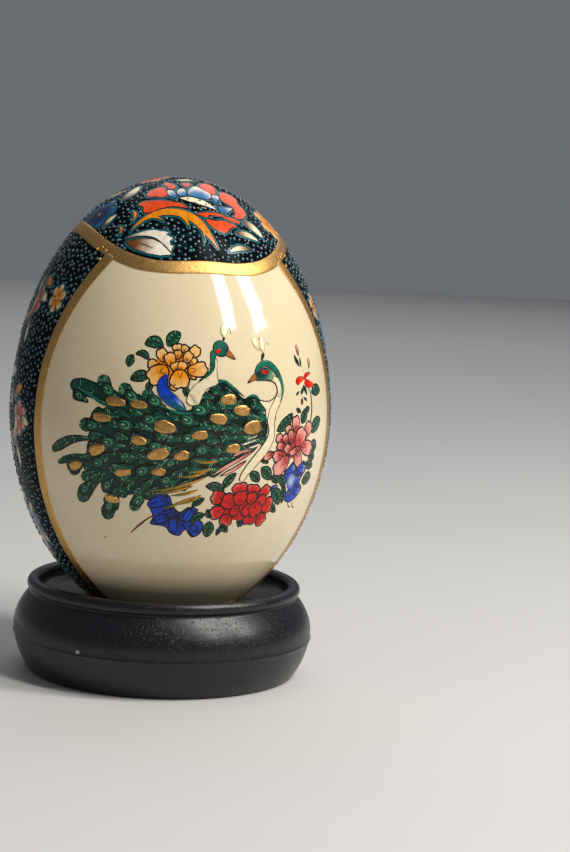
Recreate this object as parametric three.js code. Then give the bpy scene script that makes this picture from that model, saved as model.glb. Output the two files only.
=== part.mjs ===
// A decorated porcelain display egg, resting loose in a turned wooden stand.
// Millimetres, +Z up. The origin is the centre of the stand's flat underside.

import * as THREE from 'three';

// Fineness of the turned surfaces.
const SEGMENTS = 64;
const EGG_OUTSIDE_STEPS = 22;
const EGG_INSIDE_STEPS = 13;

// The egg. Its outline is R * sqrt(1 - t ^ fullness) on each side of its widest level,
// where t runs from 0 at that level to 1 at the tip.
const EGG_RADIUS = 26.7;
const EGG_CROWN_HEIGHT = 39.4;
const EGG_CROWN_FULLNESS = 1.96;
const EGG_TAIL_HEIGHT = 35.6;
const EGG_TAIL_FULLNESS = 1.865;
const EGG_BOTTOM_Z = 7.8;
const EGG_WALL = 3.0;
const VENT_RADIUS = 3.0;

// The stand's outside, from the foot up.
const FOOT_RADIUS = 22.3;
const ARRIS_RADIUS = 25.2;
const ARRIS_Z = 6.4;
const FLANK_PULL = [24.2, 1.9];
const BELLY_PULL = [25.2, 10.2];
const NECK_RADIUS = 22.5;
const NECK_Z = 13.3;

// The rounded lip, an oval bead that runs on from the neck.
const LIP_CENTRE_RADIUS = 21.95;
const LIP_CENTRE_Z = 14.4;
const LIP_HALF_WIDTH = 1.05;
const LIP_HALF_HEIGHT = 1.1;
const LIP_START = THREE.MathUtils.degToRad(-55);
const LIP_END = Math.PI;

// The dish inside the lip: a sloping floor, a rounded seat edge and a well for the egg's tip.
const DISH_RIM_Z = 13.2;
const SEAT_RADIUS = 12.0;
const SEAT_EDGE_ROUND = 1.0;
const SEAT_GAP = 0.15;
const WELL_FLOOR_Z = 6.2;

const PORCELAIN = { color: 0xd9c7a0, roughness: 0.12, metalness: 0 };
const BLACK_LACQUER = { color: 0x14141a, roughness: 0.38, metalness: 0 };

const eggWidestZ = EGG_BOTTOM_Z + EGG_TAIL_HEIGHT;

// A point of the egg's outline, for a latitude from -90 degrees at the tail to 90 at the crown.
// The radius follows the cosine of the latitude, and the height the inverse of the outline.
function eggPoint(latitude) {
  const height = latitude < 0 ? -EGG_TAIL_HEIGHT : EGG_CROWN_HEIGHT;
  const fullness = latitude < 0 ? EGG_TAIL_FULLNESS : EGG_CROWN_FULLNESS;
  const reach = Math.abs(Math.sin(latitude)) ** (2 / fullness);
  return new THREE.Vector2(EGG_RADIUS * Math.cos(latitude), eggWidestZ + height * reach);
}

// The outward unit normal of the outline, from a short chord across the point.
function eggNormal(latitude) {
  const step = 0.001;
  const chord = eggPoint(latitude + step).sub(eggPoint(latitude - step)).normalize();
  return new THREE.Vector2(chord.y, -chord.x);
}

// The outline moved inwards by a depth, as a list of points between two latitudes.
function eggOutline(from, to, steps, depth) {
  const points = [];
  for (let i = 0; i <= steps; i += 1) {
    const latitude = THREE.MathUtils.lerp(from, to, i / steps);
    points.push(eggPoint(latitude).addScaledVector(eggNormal(latitude), -depth));
  }
  return points;
}

// An elliptical arc as a list of points; 0 degrees points away from the axis.
function arc(centre, halfWidth, halfHeight, from, to, steps) {
  return new THREE.EllipseCurve(centre.x, centre.y, halfWidth, halfHeight, from, to, from > to)
    .getPoints(steps);
}

// Turns an outline of (radius, height) points into a closed body standing on +Z.
function turned(name, outline, finish) {
  const geometry = new THREE.LatheGeometry(outline, SEGMENTS);
  geometry.rotateX(Math.PI / 2);
  const mesh = new THREE.Mesh(geometry, new THREE.MeshStandardMaterial(finish));
  mesh.name = name;
  return mesh;
}

// The slip-cast shell: inside from the crown down to the vent, then outside back up.
function eggShell() {
  const ventLatitude = -Math.acos(VENT_RADIUS / EGG_RADIUS);
  const innerVentLatitude = ventLatitude + THREE.MathUtils.degToRad(0.6);
  const crown = Math.PI / 2;
  const inside = eggOutline(crown, innerVentLatitude, EGG_INSIDE_STEPS, EGG_WALL);
  const outside = eggOutline(ventLatitude, crown, EGG_OUTSIDE_STEPS, 0);
  inside[0].x = 0;
  outside[outside.length - 1].x = 0;
  inside[inside.length - 1].x = VENT_RADIUS;
  return turned('egg_shell', [...inside, ...outside], PORCELAIN);
}

// The seat edge's round touches the egg at SEAT_RADIUS, apart from the seat gap.
function seatEdgeCentre() {
  const latitude = -Math.acos(SEAT_RADIUS / EGG_RADIUS);
  return eggPoint(latitude).addScaledVector(eggNormal(latitude), SEAT_GAP + SEAT_EDGE_ROUND);
}

// The stand, from the middle of its underside, round the outside and over the lip to the well.
function stand() {
  const flank = new THREE.QuadraticBezierCurve(
    new THREE.Vector2(FOOT_RADIUS, 0),
    new THREE.Vector2(...FLANK_PULL),
    new THREE.Vector2(ARRIS_RADIUS, ARRIS_Z),
  );
  const belly = new THREE.QuadraticBezierCurve(
    new THREE.Vector2(ARRIS_RADIUS, ARRIS_Z),
    new THREE.Vector2(...BELLY_PULL),
    new THREE.Vector2(NECK_RADIUS, NECK_Z),
  );
  const lipCentre = new THREE.Vector2(LIP_CENTRE_RADIUS, LIP_CENTRE_Z);
  const lip = arc(lipCentre, LIP_HALF_WIDTH, LIP_HALF_HEIGHT, LIP_START, LIP_END, 9);
  const edgeCentre = seatEdgeCentre();
  const seatEdge = arc(edgeCentre, SEAT_EDGE_ROUND, SEAT_EDGE_ROUND, Math.PI / 2, Math.PI, 4);
  const outline = [
    new THREE.Vector2(0, 0),
    ...flank.getPoints(4),
    ...belly.getPoints(6).slice(1),
    ...lip,
    new THREE.Vector2(LIP_CENTRE_RADIUS - LIP_HALF_WIDTH, DISH_RIM_Z),
    ...seatEdge,
    new THREE.Vector2(edgeCentre.x - SEAT_EDGE_ROUND, WELL_FLOOR_Z),
    new THREE.Vector2(0, WELL_FLOOR_Z),
  ];
  return turned('stand', outline, BLACK_LACQUER);
}

const displayEgg = new THREE.Group();
displayEgg.add(stand());
displayEgg.add(eggShell());

export default displayEgg;
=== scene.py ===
"""A decorated porcelain egg on a turned black stand: the visual model.

The egg is a glazed shell. Fired onto it are black ground enamel with raised beads, gilt borders,
a flowering crown, two picture panels with peafowl and peonies, and two side fields.
Lengths are millimetres until a mesh is made. Azimuth 0 faces -Y and grows towards +X.
"""
import logging
import math
from dataclasses import dataclass, field, replace
from enum import Enum
from functools import cache, cached_property
from typing import Callable, Sequence

import bpy
import numpy as np
from mathutils import Matrix, Vector


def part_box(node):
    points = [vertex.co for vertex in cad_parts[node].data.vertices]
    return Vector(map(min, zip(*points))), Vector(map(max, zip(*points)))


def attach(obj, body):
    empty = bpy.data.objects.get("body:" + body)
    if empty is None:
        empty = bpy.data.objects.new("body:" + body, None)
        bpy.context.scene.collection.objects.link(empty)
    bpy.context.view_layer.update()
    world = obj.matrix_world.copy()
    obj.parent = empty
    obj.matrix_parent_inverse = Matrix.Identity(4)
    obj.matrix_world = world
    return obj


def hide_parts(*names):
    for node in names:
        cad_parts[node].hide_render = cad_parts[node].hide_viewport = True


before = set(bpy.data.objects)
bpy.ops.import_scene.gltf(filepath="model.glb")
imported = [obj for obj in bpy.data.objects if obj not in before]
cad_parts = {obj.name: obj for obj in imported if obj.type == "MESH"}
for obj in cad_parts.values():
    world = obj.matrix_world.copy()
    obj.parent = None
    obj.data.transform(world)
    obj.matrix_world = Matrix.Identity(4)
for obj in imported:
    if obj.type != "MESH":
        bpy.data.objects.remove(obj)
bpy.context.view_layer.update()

Array = np.ndarray
Point = tuple[float, float]
Petal = tuple[float, float, float, float, float]
Leaf = tuple[float, float, float, float, float, float]

MM = 0.001
# How far an edge reaches below the glaze, the usual ink line, and one coat of enamel.
SINK = 0.03
INK_LINE = 0.2
LAYER = 0.0045
HALF_TURN = math.pi
log = logging.getLogger("display_egg")


class Tint(Enum):
    """Enamel and lacquer colours, as display RGB."""

    INK = 0x0E0907
    CREAM = 0xF1DFB8
    WHITE = 0xECE3CE
    IVORY = 0xE9D9B5
    ORANGE = 0xE68A0C
    ORANGE_PALE = 0xF0C078
    VERMILION = 0xE64A0E
    CORAL_PALE = 0xF2A878
    RED = 0xCC1408
    RED_PALE = 0xEFA890
    ROSE = 0xBE3A34
    ROSE_PALE = 0xE9A092
    MAROON = 0x5A1410
    LEAF_DARK = 0x08261B
    LEAF = 0x175A3E
    LEAF_PALE = 0x7FAE84
    EYE_RING = 0x4F8F6C
    TEAL = 0x15705C
    TEAL_DARK = 0x083C36
    TEAL_HALO = 0x116470
    BLUE = 0x1240BE
    BLUE_PALE = 0xA9BAD6
    SKY = 0x0B68A2
    NAVY = 0x081C48
    BROWN = 0x6E3D0C
    BEAK = 0xA8622A
    OLIVE = 0x7E7622
    BUD = 0x96604C

    @property
    def linear(self) -> Array:
        """The colour in linear light."""
        parts = np.array([self.value >> 16 & 255, self.value >> 8 & 255, self.value & 255]) / 255
        return np.where(parts <= 0.04045, parts / 12.92, ((parts + 0.055) / 1.055) ** 2.4)


# ---- shader expressions


class Wire:
    """A shader socket that can be used in arithmetic; each expression adds a Math node."""

    def __init__(self, graph: "Graph", socket: bpy.types.NodeSocket) -> None:
        """Keeps the socket and the graph it belongs to."""
        self.graph = graph
        self.socket = socket

    def _math(self, operation: str, first: object, second: object) -> "Wire":
        """Adds one Math node with the operation on two values or wires."""
        return self.graph.add("Math", {"operation": operation}, {0: first, 1: second})

    def __add__(self, other: object) -> "Wire":
        """The sum."""
        return self._math("ADD", self, other)

    def __sub__(self, other: object) -> "Wire":
        """The difference."""
        return self._math("SUBTRACT", self, other)

    def __rsub__(self, other: object) -> "Wire":
        """The reflected difference."""
        return self._math("SUBTRACT", other, self)

    def __mul__(self, other: object) -> "Wire":
        """The product."""
        return self._math("MULTIPLY", self, other)

    def __lt__(self, other: object) -> "Wire":
        """1 where this is less than the other, else 0."""
        return self._math("LESS_THAN", self, other)

    __radd__ = __add__
    __rmul__ = __mul__


class Graph:
    """The node tree of one material, built from expressions."""

    def __init__(self, name: str) -> None:
        """Makes an empty material with one Principled shader.

        Args:
            name: The material's name.
        """
        self.material = bpy.data.materials.new(name)
        self.material.use_nodes = True
        self.tree = self.material.node_tree
        self.shader = self.tree.nodes["Principled BSDF"]

    def add(self, kind: str, settings: dict, inputs: dict, output: int | str = 0) -> Wire:
        """Adds any node.

        Args:
            kind: The node type's name after ShaderNode.
            settings: Properties of the node, set before its inputs.
            inputs: Values or wires by socket name or number.
            output: The output socket that the wire leaves from.

        Returns:
            The wire from that output.
        """
        node = self.tree.nodes.new("ShaderNode" + kind)
        for key, value in settings.items():
            setattr(node, key, value)
        for key, value in inputs.items():
            self.feed(node.inputs[key], value)
        return Wire(self, node.outputs[output])

    def feed(self, socket: bpy.types.NodeSocket, value: object) -> None:
        """Links a wire to a socket, or sets the socket's value.

        Args:
            socket: A node's input.
            value: A wire or a plain value.
        """
        if isinstance(value, Wire):
            self.tree.links.new(value.socket, socket)
        else:
            socket.default_value = value

    def place(self) -> Wire:
        """Object coordinates, in metres."""
        return self.add("TexCoord", {}, {}, "Object")

    def noise(self, scale: float, detail: float = 2.0, roughness: float = 0.5) -> Wire:
        """Noise on object coordinates; scale is in waves per metre."""
        inputs = {"Vector": self.place(), "Scale": scale, "Detail": detail, "Roughness": roughness}
        return self.add("TexNoise", {}, inputs, "Fac")

    def spots(self, scale: float, size: float) -> Wire:
        """A mask of round specks, from the distance to scattered points."""
        inputs = {"Vector": self.place(), "Scale": scale}
        return self.add("TexVoronoi", {"feature": "F1"}, inputs, "Distance") < size

    def ramp(self, value: Wire, low: float, high: float) -> Wire:
        """A smooth step from 0 at low to 1 at high."""
        inputs = {"Value": value, "From Min": low, "From Max": high}
        return self.add("MapRange", {"interpolation_type": "SMOOTHSTEP"}, inputs)

    def blend(self, factor: object, first: object, second: object) -> Wire:
        """Mixes two colours; factor 0 gives the first."""
        inputs = {0: factor, 6: first, 7: second}
        return self.add("Mix", {"data_type": "RGBA"}, inputs, 2)

    def bump(self, height: Wire, distance: float, strength: float = 1.0) -> Wire:
        """A normal from a height; distance is in metres."""
        inputs = {"Height": height, "Distance": distance, "Strength": strength}
        return self.add("Bump", {}, inputs)

    def attribute(self, name: str, output: str) -> Wire:
        """A mesh attribute."""
        return self.add("Attribute", {"attribute_name": name}, {}, output)

    def finish(self, **inputs: object) -> bpy.types.Material:
        """Feeds the shader's sockets.

        Args:
            inputs: Values or wires by socket name, with _ for a space.

        Returns:
            The finished material.
        """
        for key, value in inputs.items():
            self.feed(self.shader.inputs[key.replace("_", " ")], value)
        return self.material


def rgba(tint: Tint) -> tuple[float, float, float, float]:
    """A tint as a shader's colour value."""
    red, green, blue = tint.linear
    return (float(red), float(green), float(blue), 1.0)


# ---- finishes


@dataclass(frozen=True)
class IvoryGlaze:
    """Clear glossy glaze over a warm ivory body, with faint clouds and iron specks."""

    name: str = "ivory_glaze"
    cloud_scale: float = 45.0
    speck_scale: float = 260.0
    speck_size: float = 0.055

    def material(self) -> bpy.types.Material:
        """Builds the material.

        Returns:
            The material.
        """
        graph = Graph(self.name)
        cloud = graph.ramp(graph.noise(self.cloud_scale, 3.0), 0.35, 0.7)
        body = graph.blend(cloud * 0.5, (0.82, 0.69, 0.46, 1.0), (0.74, 0.60, 0.365, 1.0))
        grain = graph.ramp(graph.noise(1500.0, 2.0), 0.4, 0.8)
        body = graph.blend(grain * 0.10, body, (0.55, 0.40, 0.20, 1.0))
        speck = graph.spots(self.speck_scale, self.speck_size)
        rare = graph.ramp(graph.noise(110.0, 0.0), 0.60, 0.62)
        colour = graph.blend(speck * rare * 0.8, body, (0.30, 0.12, 0.05, 1.0))
        ripple = graph.bump(graph.noise(420.0, 1.0), 0.00003)
        return graph.finish(
            Base_Color=colour, Roughness=graph.noise(300.0) * 0.05 + 0.07, Normal=ripple,
            Coat_Weight=0.5, Coat_Roughness=0.04,
        )


@dataclass(frozen=True)
class PaintedEnamel:
    """Glossy overglaze colours read from the mesh, with ink outlines and brush mottling."""

    name: str = "painted_enamel"
    gloss: float = 0.16

    def material(self) -> bpy.types.Material:
        """Builds the material.

        Returns:
            The material.
        """
        graph = Graph(self.name)
        tint = graph.attribute("tint", "Color")
        mottle = graph.ramp(graph.noise(1500.0, 3.0, 0.6), 0.25, 0.75)
        paleness = graph.add("RGBToBW", {}, {"Color": tint})
        strength = (mottle - 0.5) * (0.75 - paleness * 0.75) + 1.0
        body = graph.add("VectorMath", {"operation": "SCALE"}, {0: tint, "Scale": strength})
        ragged = graph.attribute("edge", "Fac") + (graph.noise(2600.0, 1.0) - 0.5) * 0.6
        colour = graph.blend(graph.ramp(ragged, 1.75, 1.15), body, rgba(Tint.INK))
        bump = graph.bump(graph.noise(2200.0, 2.0), 0.00001)
        return graph.finish(
            Base_Color=colour, Roughness=graph.noise(700.0) * 0.12 + self.gloss, Normal=bump,
            Specular_IOR_Level=0.3, Coat_Weight=0.06, Coat_Roughness=0.08,
        )


@dataclass(frozen=True)
class GroundEnamel:
    """Black ground enamel with teal pooling in it."""

    name: str = "ground_enamel"

    def material(self) -> bpy.types.Material:
        """Builds the material.

        Returns:
            The material.
        """
        graph = Graph(self.name)
        pool = graph.ramp(graph.noise(750.0, 3.0, 0.6), 0.54, 0.70)
        colour = graph.blend(pool * 0.6, (0.0028, 0.0038, 0.0055, 1.0), (0.004, 0.055, 0.066, 1.0))
        bump = graph.bump(graph.noise(1300.0, 2.0), 0.00003)
        return graph.finish(
            Base_Color=colour, Roughness=graph.noise(500.0) * 0.08 + 0.09, Normal=bump,
            Specular_IOR_Level=0.02,
        )


@dataclass(frozen=True)
class BeadEnamel:
    """Raised slip dots under a glassy teal-black enamel."""

    name: str = "bead_enamel"

    def material(self) -> bpy.types.Material:
        """Builds the material.

        Returns:
            The material.
        """
        graph = Graph(self.name)
        pool = graph.ramp(graph.noise(1400.0, 2.0), 0.44, 0.72)
        colour = graph.blend(pool, (0.006, 0.036, 0.048, 1.0), (0.018, 0.165, 0.195, 1.0))
        return graph.finish(
            Base_Color=colour, Roughness=graph.noise(900.0) * 0.08 + 0.10,
            Specular_IOR_Level=0.9, Coat_Weight=0.6, Coat_Roughness=0.06,
        )


@dataclass(frozen=True)
class Gilt:
    """Burnished gold with a fine granular surface and brown where it is thin."""

    name: str
    roughness: float = 0.30
    grain: float = 0.00006
    wear: float = 0.45
    shine: tuple[float, float, float, float] = (0.68, 0.39, 0.12, 1.0)
    thin: tuple[float, float, float, float] = (0.30, 0.13, 0.03, 1.0)
    grain_scale: float = 3800.0

    def material(self) -> bpy.types.Material:
        """Builds the material.

        Returns:
            The material.
        """
        graph = Graph(self.name)
        worn = graph.ramp(graph.noise(1100.0, 4.0, 0.7), 0.46, 0.74)
        fleck = graph.ramp(graph.noise(4200.0, 1.0), 0.60, 0.72)
        colour = graph.blend(worn * self.wear, self.shine, self.thin)
        colour = graph.blend(fleck * 0.5, colour, (0.96, 0.76, 0.42, 1.0))
        bump = graph.bump(graph.noise(self.grain_scale, 3.0, 0.7), self.grain)
        return graph.finish(
            Base_Color=colour, Metallic=1.0, Normal=bump,
            Roughness=graph.noise(1800.0, 3.0) * 0.22 + self.roughness,
        )


BEAD_GILT = Gilt("gilt_beads", 0.22, 0.00003)
DAB_GILT = Gilt("gilt_dabs", 0.22, 0.00016, 1.0, (0.62, 0.33, 0.10, 1.0), grain_scale=1700.0)
CREST_GOLD = Gilt("crest_gold", 0.38, 0.00008, 0.6, (0.93, 0.80, 0.48, 1.0), (0.70, 0.55, 0.30, 1.0))


@dataclass(frozen=True)
class BlackLacquer:
    """Satin black lacquer over turned wood, with pores, dust and one chip on the arris."""

    name: str
    chip: tuple[float, float, float]
    chip_size: float = 0.00045

    def material(self) -> bpy.types.Material:
        """Builds the material.

        Returns:
            The material.
        """
        graph = Graph(self.name)
        place = graph.place()
        stretched = graph.add("Mapping", {}, {"Vector": place, "Scale": (300.0, 300.0, 2600.0)})
        turning = graph.add("TexNoise", {}, {"Vector": stretched, "Scale": 1.0, "Detail": 3.0}, "Fac")
        pores = graph.ramp(graph.noise(2400.0, 4.0, 0.7), 0.55, 0.72)
        dust = graph.ramp(graph.noise(3300.0, 2.0, 0.7), 0.66, 0.78) * graph.noise(160.0)
        body = graph.blend(pores * 0.5, (0.0040, 0.0045, 0.0066, 1.0), (0.013, 0.013, 0.017, 1.0))
        colour = graph.blend(dust * 0.55, body, (0.16, 0.155, 0.15, 1.0))
        away = graph.add("VectorMath", {"operation": "DISTANCE"}, {0: place, 1: self.chip}, "Value")
        ragged = away + (graph.noise(1600.0, 2.0) - 0.5) * self.chip_size
        chip = graph.ramp(ragged, self.chip_size, self.chip_size * 0.6)
        colour = graph.blend(chip, colour, (0.42, 0.38, 0.33, 1.0))
        relief = turning * 0.35 + pores * 0.45 - chip * 1.5
        roughness = graph.noise(700.0, 3.0) * 0.18 + 0.24 + chip * 0.3 + dust * 0.3
        return graph.finish(
            Base_Color=colour, Roughness=roughness, Normal=graph.bump(relief, 0.00005),
            Specular_IOR_Level=0.5,
        )


@dataclass(frozen=True)
class PaleFloor:
    """Plain matte studio paper."""

    name: str = "studio_paper"

    def material(self) -> bpy.types.Material:
        """Builds the material.

        Returns:
            The material.
        """
        graph = Graph(self.name)
        tone = graph.blend(graph.noise(30.0, 3.0) * 0.3, (0.66, 0.65, 0.63, 1), (0.60, 0.59, 0.57, 1))
        return graph.finish(Base_Color=tone, Roughness=0.7)


# ---- surfaces


@dataclass(frozen=True)
class EggForm:
    """The egg's outer surface, a body of revolution about Z.

    Its outline is radius * sqrt(1 - t ** fullness) on each side of the widest level, where t
    runs from 0 there to 1 at the tip. Points are named by azimuth and by a latitude from
    -90 degrees at the tail to 90 at the crown, whose cosine is the share of the radius.
    """

    bottom: float
    top: float
    radius: float = 26.7
    widest_share: float = 0.4747
    crown_fullness: float = 1.96
    tail_fullness: float = 1.865

    @property
    def widest(self) -> float:
        """The height of the widest level."""
        return self.bottom + self.widest_share * (self.top - self.bottom)

    def outline(self, latitude: Array) -> tuple[Array, Array]:
        """Radius and height at each latitude: cosine, and sine to the power 2 / fullness.

        Args:
            latitude: Latitudes in radians.

        Returns:
            The radius and the height of each.
        """
        below = latitude < 0
        reach = np.where(below, self.bottom, self.top) - self.widest
        fullness = np.where(below, self.tail_fullness, self.crown_fullness)
        climb = np.abs(np.sin(latitude)) ** (2 / fullness)
        return self.radius * np.cos(latitude), self.widest + reach * climb

    def latitude_at(self, height: Array) -> Array:
        """The latitude of each height: the outline's height formula turned round.

        Args:
            height: Heights between the tail and the crown.

        Returns:
            Their latitudes in radians.
        """
        below = height < self.widest
        reach = np.where(below, self.widest - self.bottom, self.top - self.widest)
        fullness = np.where(below, self.tail_fullness, self.crown_fullness)
        share = np.clip(np.abs(height - self.widest) / reach, 0.0, 1.0)
        return np.where(below, -1.0, 1.0) * np.arcsin(share ** (fullness / 2))

    @cached_property
    def _arc(self) -> tuple[Array, Array]:
        """Arc length from the crown and latitude, as a finely stepped table.

        Returns:
            The lengths and the latitudes.
        """
        latitude = np.linspace(HALF_TURN / 2, -HALF_TURN / 2, 6001)
        radius, height = self.outline(latitude)
        steps = np.hypot(np.diff(radius), np.diff(height))
        return np.concatenate([[0.0], np.cumsum(steps)]), latitude

    def latitude_at_arc(self, length: Array) -> Array:
        """The latitude at each arc length from the crown."""
        return np.interp(length, *self._arc)

    def arc_at(self, latitude: Array) -> Array:
        """The arc length from the crown to each latitude."""
        arc, table = self._arc
        return np.interp(-latitude, -table, arc)

    def surface(self, azimuth: Array, latitude: Array, lift: Array | float = 0.0) -> Array:
        """Points of the surface, moved outwards along its normal by lift.

        Args:
            azimuth: Azimuths in radians.
            latitude: Latitudes in radians.
            lift: How far out, in millimetres.

        Returns:
            The points, with x, y and z last.
        """
        radius, height = self.outline(latitude)
        ahead, behind = self.outline(latitude + 1e-4), self.outline(latitude - 1e-4)
        run, rise = ahead[0] - behind[0], ahead[1] - behind[1]
        span = np.hypot(run, rise)
        radius = radius + lift * rise / span
        height = height - lift * run / span
        return np.stack([radius * np.sin(azimuth), -radius * np.cos(azimuth), height], -1)

    def settled(self, points: Array, lift: Array | float = 0.0) -> Array:
        """Nearby points brought level onto the surface at their own height, then lifted."""
        azimuth = np.arctan2(points[..., 0], -points[..., 1])
        return self.surface(azimuth, self.latitude_at(points[..., 2]), lift)


@dataclass(frozen=True)
class PanelChart:
    """A flat drawing wrapped round the belly: x is the girth from a meridian, y the height."""

    form: EggForm
    turn: float

    def place(self, drawing: Array, lift: Array | float) -> Array:
        """Puts drawn points on the egg; azimuth is x over the egg's radius."""
        azimuth = self.turn + drawing[..., 0] / self.form.radius
        return self.form.surface(azimuth, self.form.latitude_at(drawing[..., 1]), lift)


@dataclass(frozen=True)
class CrownChart:
    """A flat drawing laid over the crown: lengths from the middle are arcs from the tip."""

    form: EggForm
    turn: float

    def place(self, drawing: Array, lift: Array | float) -> Array:
        """Puts drawn points on the egg; azimuth is the drawn bearing from straight down."""
        azimuth = self.turn + np.arctan2(drawing[..., 0], -drawing[..., 1])
        return self.form.surface(azimuth, self.form.latitude_at_arc(lengths(drawing)), lift)


Chart = PanelChart | CrownChart


# ---- curves and meshes


def spline(points: Sequence[Point] | Array, count: int, closed: bool = False) -> Array:
    """A smooth curve through all points: Catmull-Rom cubics, evenly stepped in parameter.

    Args:
        points: The points to pass through, at least two.
        count: How many points to return.
        closed: Whether the curve returns to its start.

    Returns:
        The curve's points, without a repeated end if closed.
    """
    knots = np.asarray(points, float)
    if closed:
        knots = np.vstack([knots[-1], knots, knots[:2]])
    else:
        knots = np.vstack([2 * knots[0] - knots[1], knots, 2 * knots[-1] - knots[-2]])
    spans = len(knots) - 3
    where = np.linspace(0, spans, count, endpoint=not closed)
    first = np.minimum(where.astype(int), spans - 1)
    u = (where - first)[:, None]
    a, b, c, d = (knots[first + k] for k in range(4))
    bend = 2 * a - 5 * b + 4 * c - d
    return 0.5 * (2 * b + (c - a) * u + bend * u**2 + (3 * b - a - 3 * c + d) * u**3)


def smooth_step(value: Array, low: float, high: float) -> Array:
    """The cubic 3u^2 - 2u^3 between two limits."""
    u = np.clip((value - low) / (high - low), 0.0, 1.0)
    return u * u * (3 - 2 * u)


def lengths(vectors: Array) -> Array:
    """The length of each flat vector: the root of x squared plus y squared."""
    return np.hypot(vectors[..., 0], vectors[..., 1])


def left_of(vectors: Array) -> Array:
    """Each flat vector turned a quarter to its left."""
    return np.stack([-vectors[..., 1], vectors[..., 0]], -1)


def heading(degrees: float) -> tuple[Array, Array]:
    """The unit vector at an angle from x towards y, and the one to its left."""
    ahead = np.array([math.cos(math.radians(degrees)), math.sin(math.radians(degrees))])
    return ahead, left_of(ahead)


def grid_triangles(rows: int, columns: int, wrap: bool = False, loop: bool = False) -> Array:
    """Two triangles for each cell of a row-by-row grid, facing rows cross columns.

    Args:
        rows: How many rows of points there are.
        columns: How many points a row has.
        wrap: Whether the last column joins the first.
        loop: Whether the last row joins the first.

    Returns:
        The triangles' vertex numbers.
    """
    row, column = np.meshgrid(np.arange(rows if loop else rows - 1),
                              np.arange(columns if wrap else columns - 1), indexing="ij")
    below, after = (row + 1) % rows * columns, (column + 1) % columns
    a, b, c, d = row * columns + column, row * columns + after, below + column, below + after
    return np.stack([a, c, b, b, c, d], -1).reshape(-1, 3)


def turned_triangles(rows: int, columns: int) -> Array:
    """A wrapped grid, closed by a fan at each end round two tips.

    Args:
        rows: How many rows of points there are.
        columns: How many points a row has.

    Returns:
        The triangles, where the first row's tip and the last row's tip follow the grid's points.
    """
    around = np.arange(columns)
    after = (around + 1) % columns
    last = (rows - 1) * columns
    first = np.stack([np.full(columns, rows * columns), around, after], -1)
    final = np.stack([np.full(columns, rows * columns + 1), last + after, last + around], -1)
    return np.vstack([first, grid_triangles(rows, columns, True), final])


def ribbon_triangles(rows: int, columns: int, closed: bool = False) -> Array:
    """A grid as the top of a flat ribbon, with its underside and its two ends.

    Args:
        rows: How many rows of points there are along the ribbon.
        columns: How many points a row has across it.
        closed: Whether its ends meet.

    Returns:
        The triangles' vertex numbers.
    """
    left = np.arange(rows) * columns
    sides = np.stack([left + columns - 1, left], -1).ravel()
    faces = [grid_triangles(rows, columns, loop=closed), sides[grid_triangles(rows, 2, loop=closed)]]
    if not closed:
        over = np.arange(1, columns - 1)
        fan = np.stack([0 * over, over, over + 1], -1)
        faces += [fan, left[-1] + fan[:, ::-1]]
    return np.vstack(faces)


def inside(polygon: Array, points: Array) -> Array:
    """Whether each point is inside a polygon, by counting the sides to its right.

    Args:
        polygon: Its corners.
        points: The points to test.

    Returns:
        A truth value for each point.
    """
    x, y = points[:, None, 0], points[:, None, 1]
    x0, y0 = polygon[None, :, 0], polygon[None, :, 1]
    x1, y1 = np.roll(x0, -1, 1), np.roll(y0, -1, 1)
    crossing = (y0 > y) != (y1 > y)
    reach = x0 + (y - y0) * (x1 - x0) / np.where(y1 == y0, 1e-9, y1 - y0)
    return (crossing & (x < reach)).sum(1) % 2 == 1


@dataclass
class MeshParts:
    """Vertices, triangles and their attributes, gathered shape by shape."""

    points: list[Array] = field(default_factory=list)
    triangles: list[Array] = field(default_factory=list)
    tints: list[Array] = field(default_factory=list)
    edges: list[Array] = field(default_factory=list)
    count: int = 0

    def add(self, points: Array, triangles: Array, tint: Array | None = None,
            edge: Array | None = None) -> None:
        """Adds one shape.

        Args:
            points: Vertices in millimetres.
            triangles: Vertex numbers of the shape's own triangles.
            tint: Linear RGB for each vertex, if the finish reads it.
            edge: Distance from the outline in ink lines for each vertex, if it reads that.
        """
        self.points.append(points)
        self.triangles.append(triangles + self.count)
        self.count += len(points)
        if tint is not None:
            self.tints.append(tint)
            self.edges.append(edge)

    def piece(self, name: str, material: bpy.types.Material) -> bpy.types.Object:
        """Makes the Blender object, in metres, with smooth faces and its attributes.

        Args:
            name: The piece's name.
            material: Its material.

        Returns:
            The object.
        """
        points = np.vstack(self.points) * MM
        triangles = np.vstack(self.triangles)
        mesh = bpy.data.meshes.new(name)
        mesh.vertices.add(len(points))
        mesh.vertices.foreach_set("co", points.astype(np.float32).ravel())
        mesh.loops.add(triangles.size)
        mesh.loops.foreach_set("vertex_index", triangles.astype(np.int32).ravel())
        mesh.polygons.add(len(triangles))
        mesh.polygons.foreach_set("loop_start", np.arange(0, triangles.size, 3, dtype=np.int32))
        mesh.polygons.foreach_set("use_smooth", np.ones(len(triangles), bool))
        mesh.update(calc_edges=True)
        if self.tints:
            shade = np.ones((len(points), 4), np.float32)
            shade[:, :3] = np.vstack(self.tints)
            mesh.attributes.new("tint", "FLOAT_COLOR", "POINT").data.foreach_set("color", shade.ravel())
            edge = np.concatenate(self.edges).astype(np.float32)
            mesh.attributes.new("edge", "FLOAT", "POINT").data.foreach_set("value", edge)
        mesh.validate()
        mesh.materials.append(material)
        piece = bpy.data.objects.new(name, mesh)
        bpy.context.scene.collection.objects.link(piece)
        log.info("%s: %d triangles", name, len(triangles))
        return piece


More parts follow.
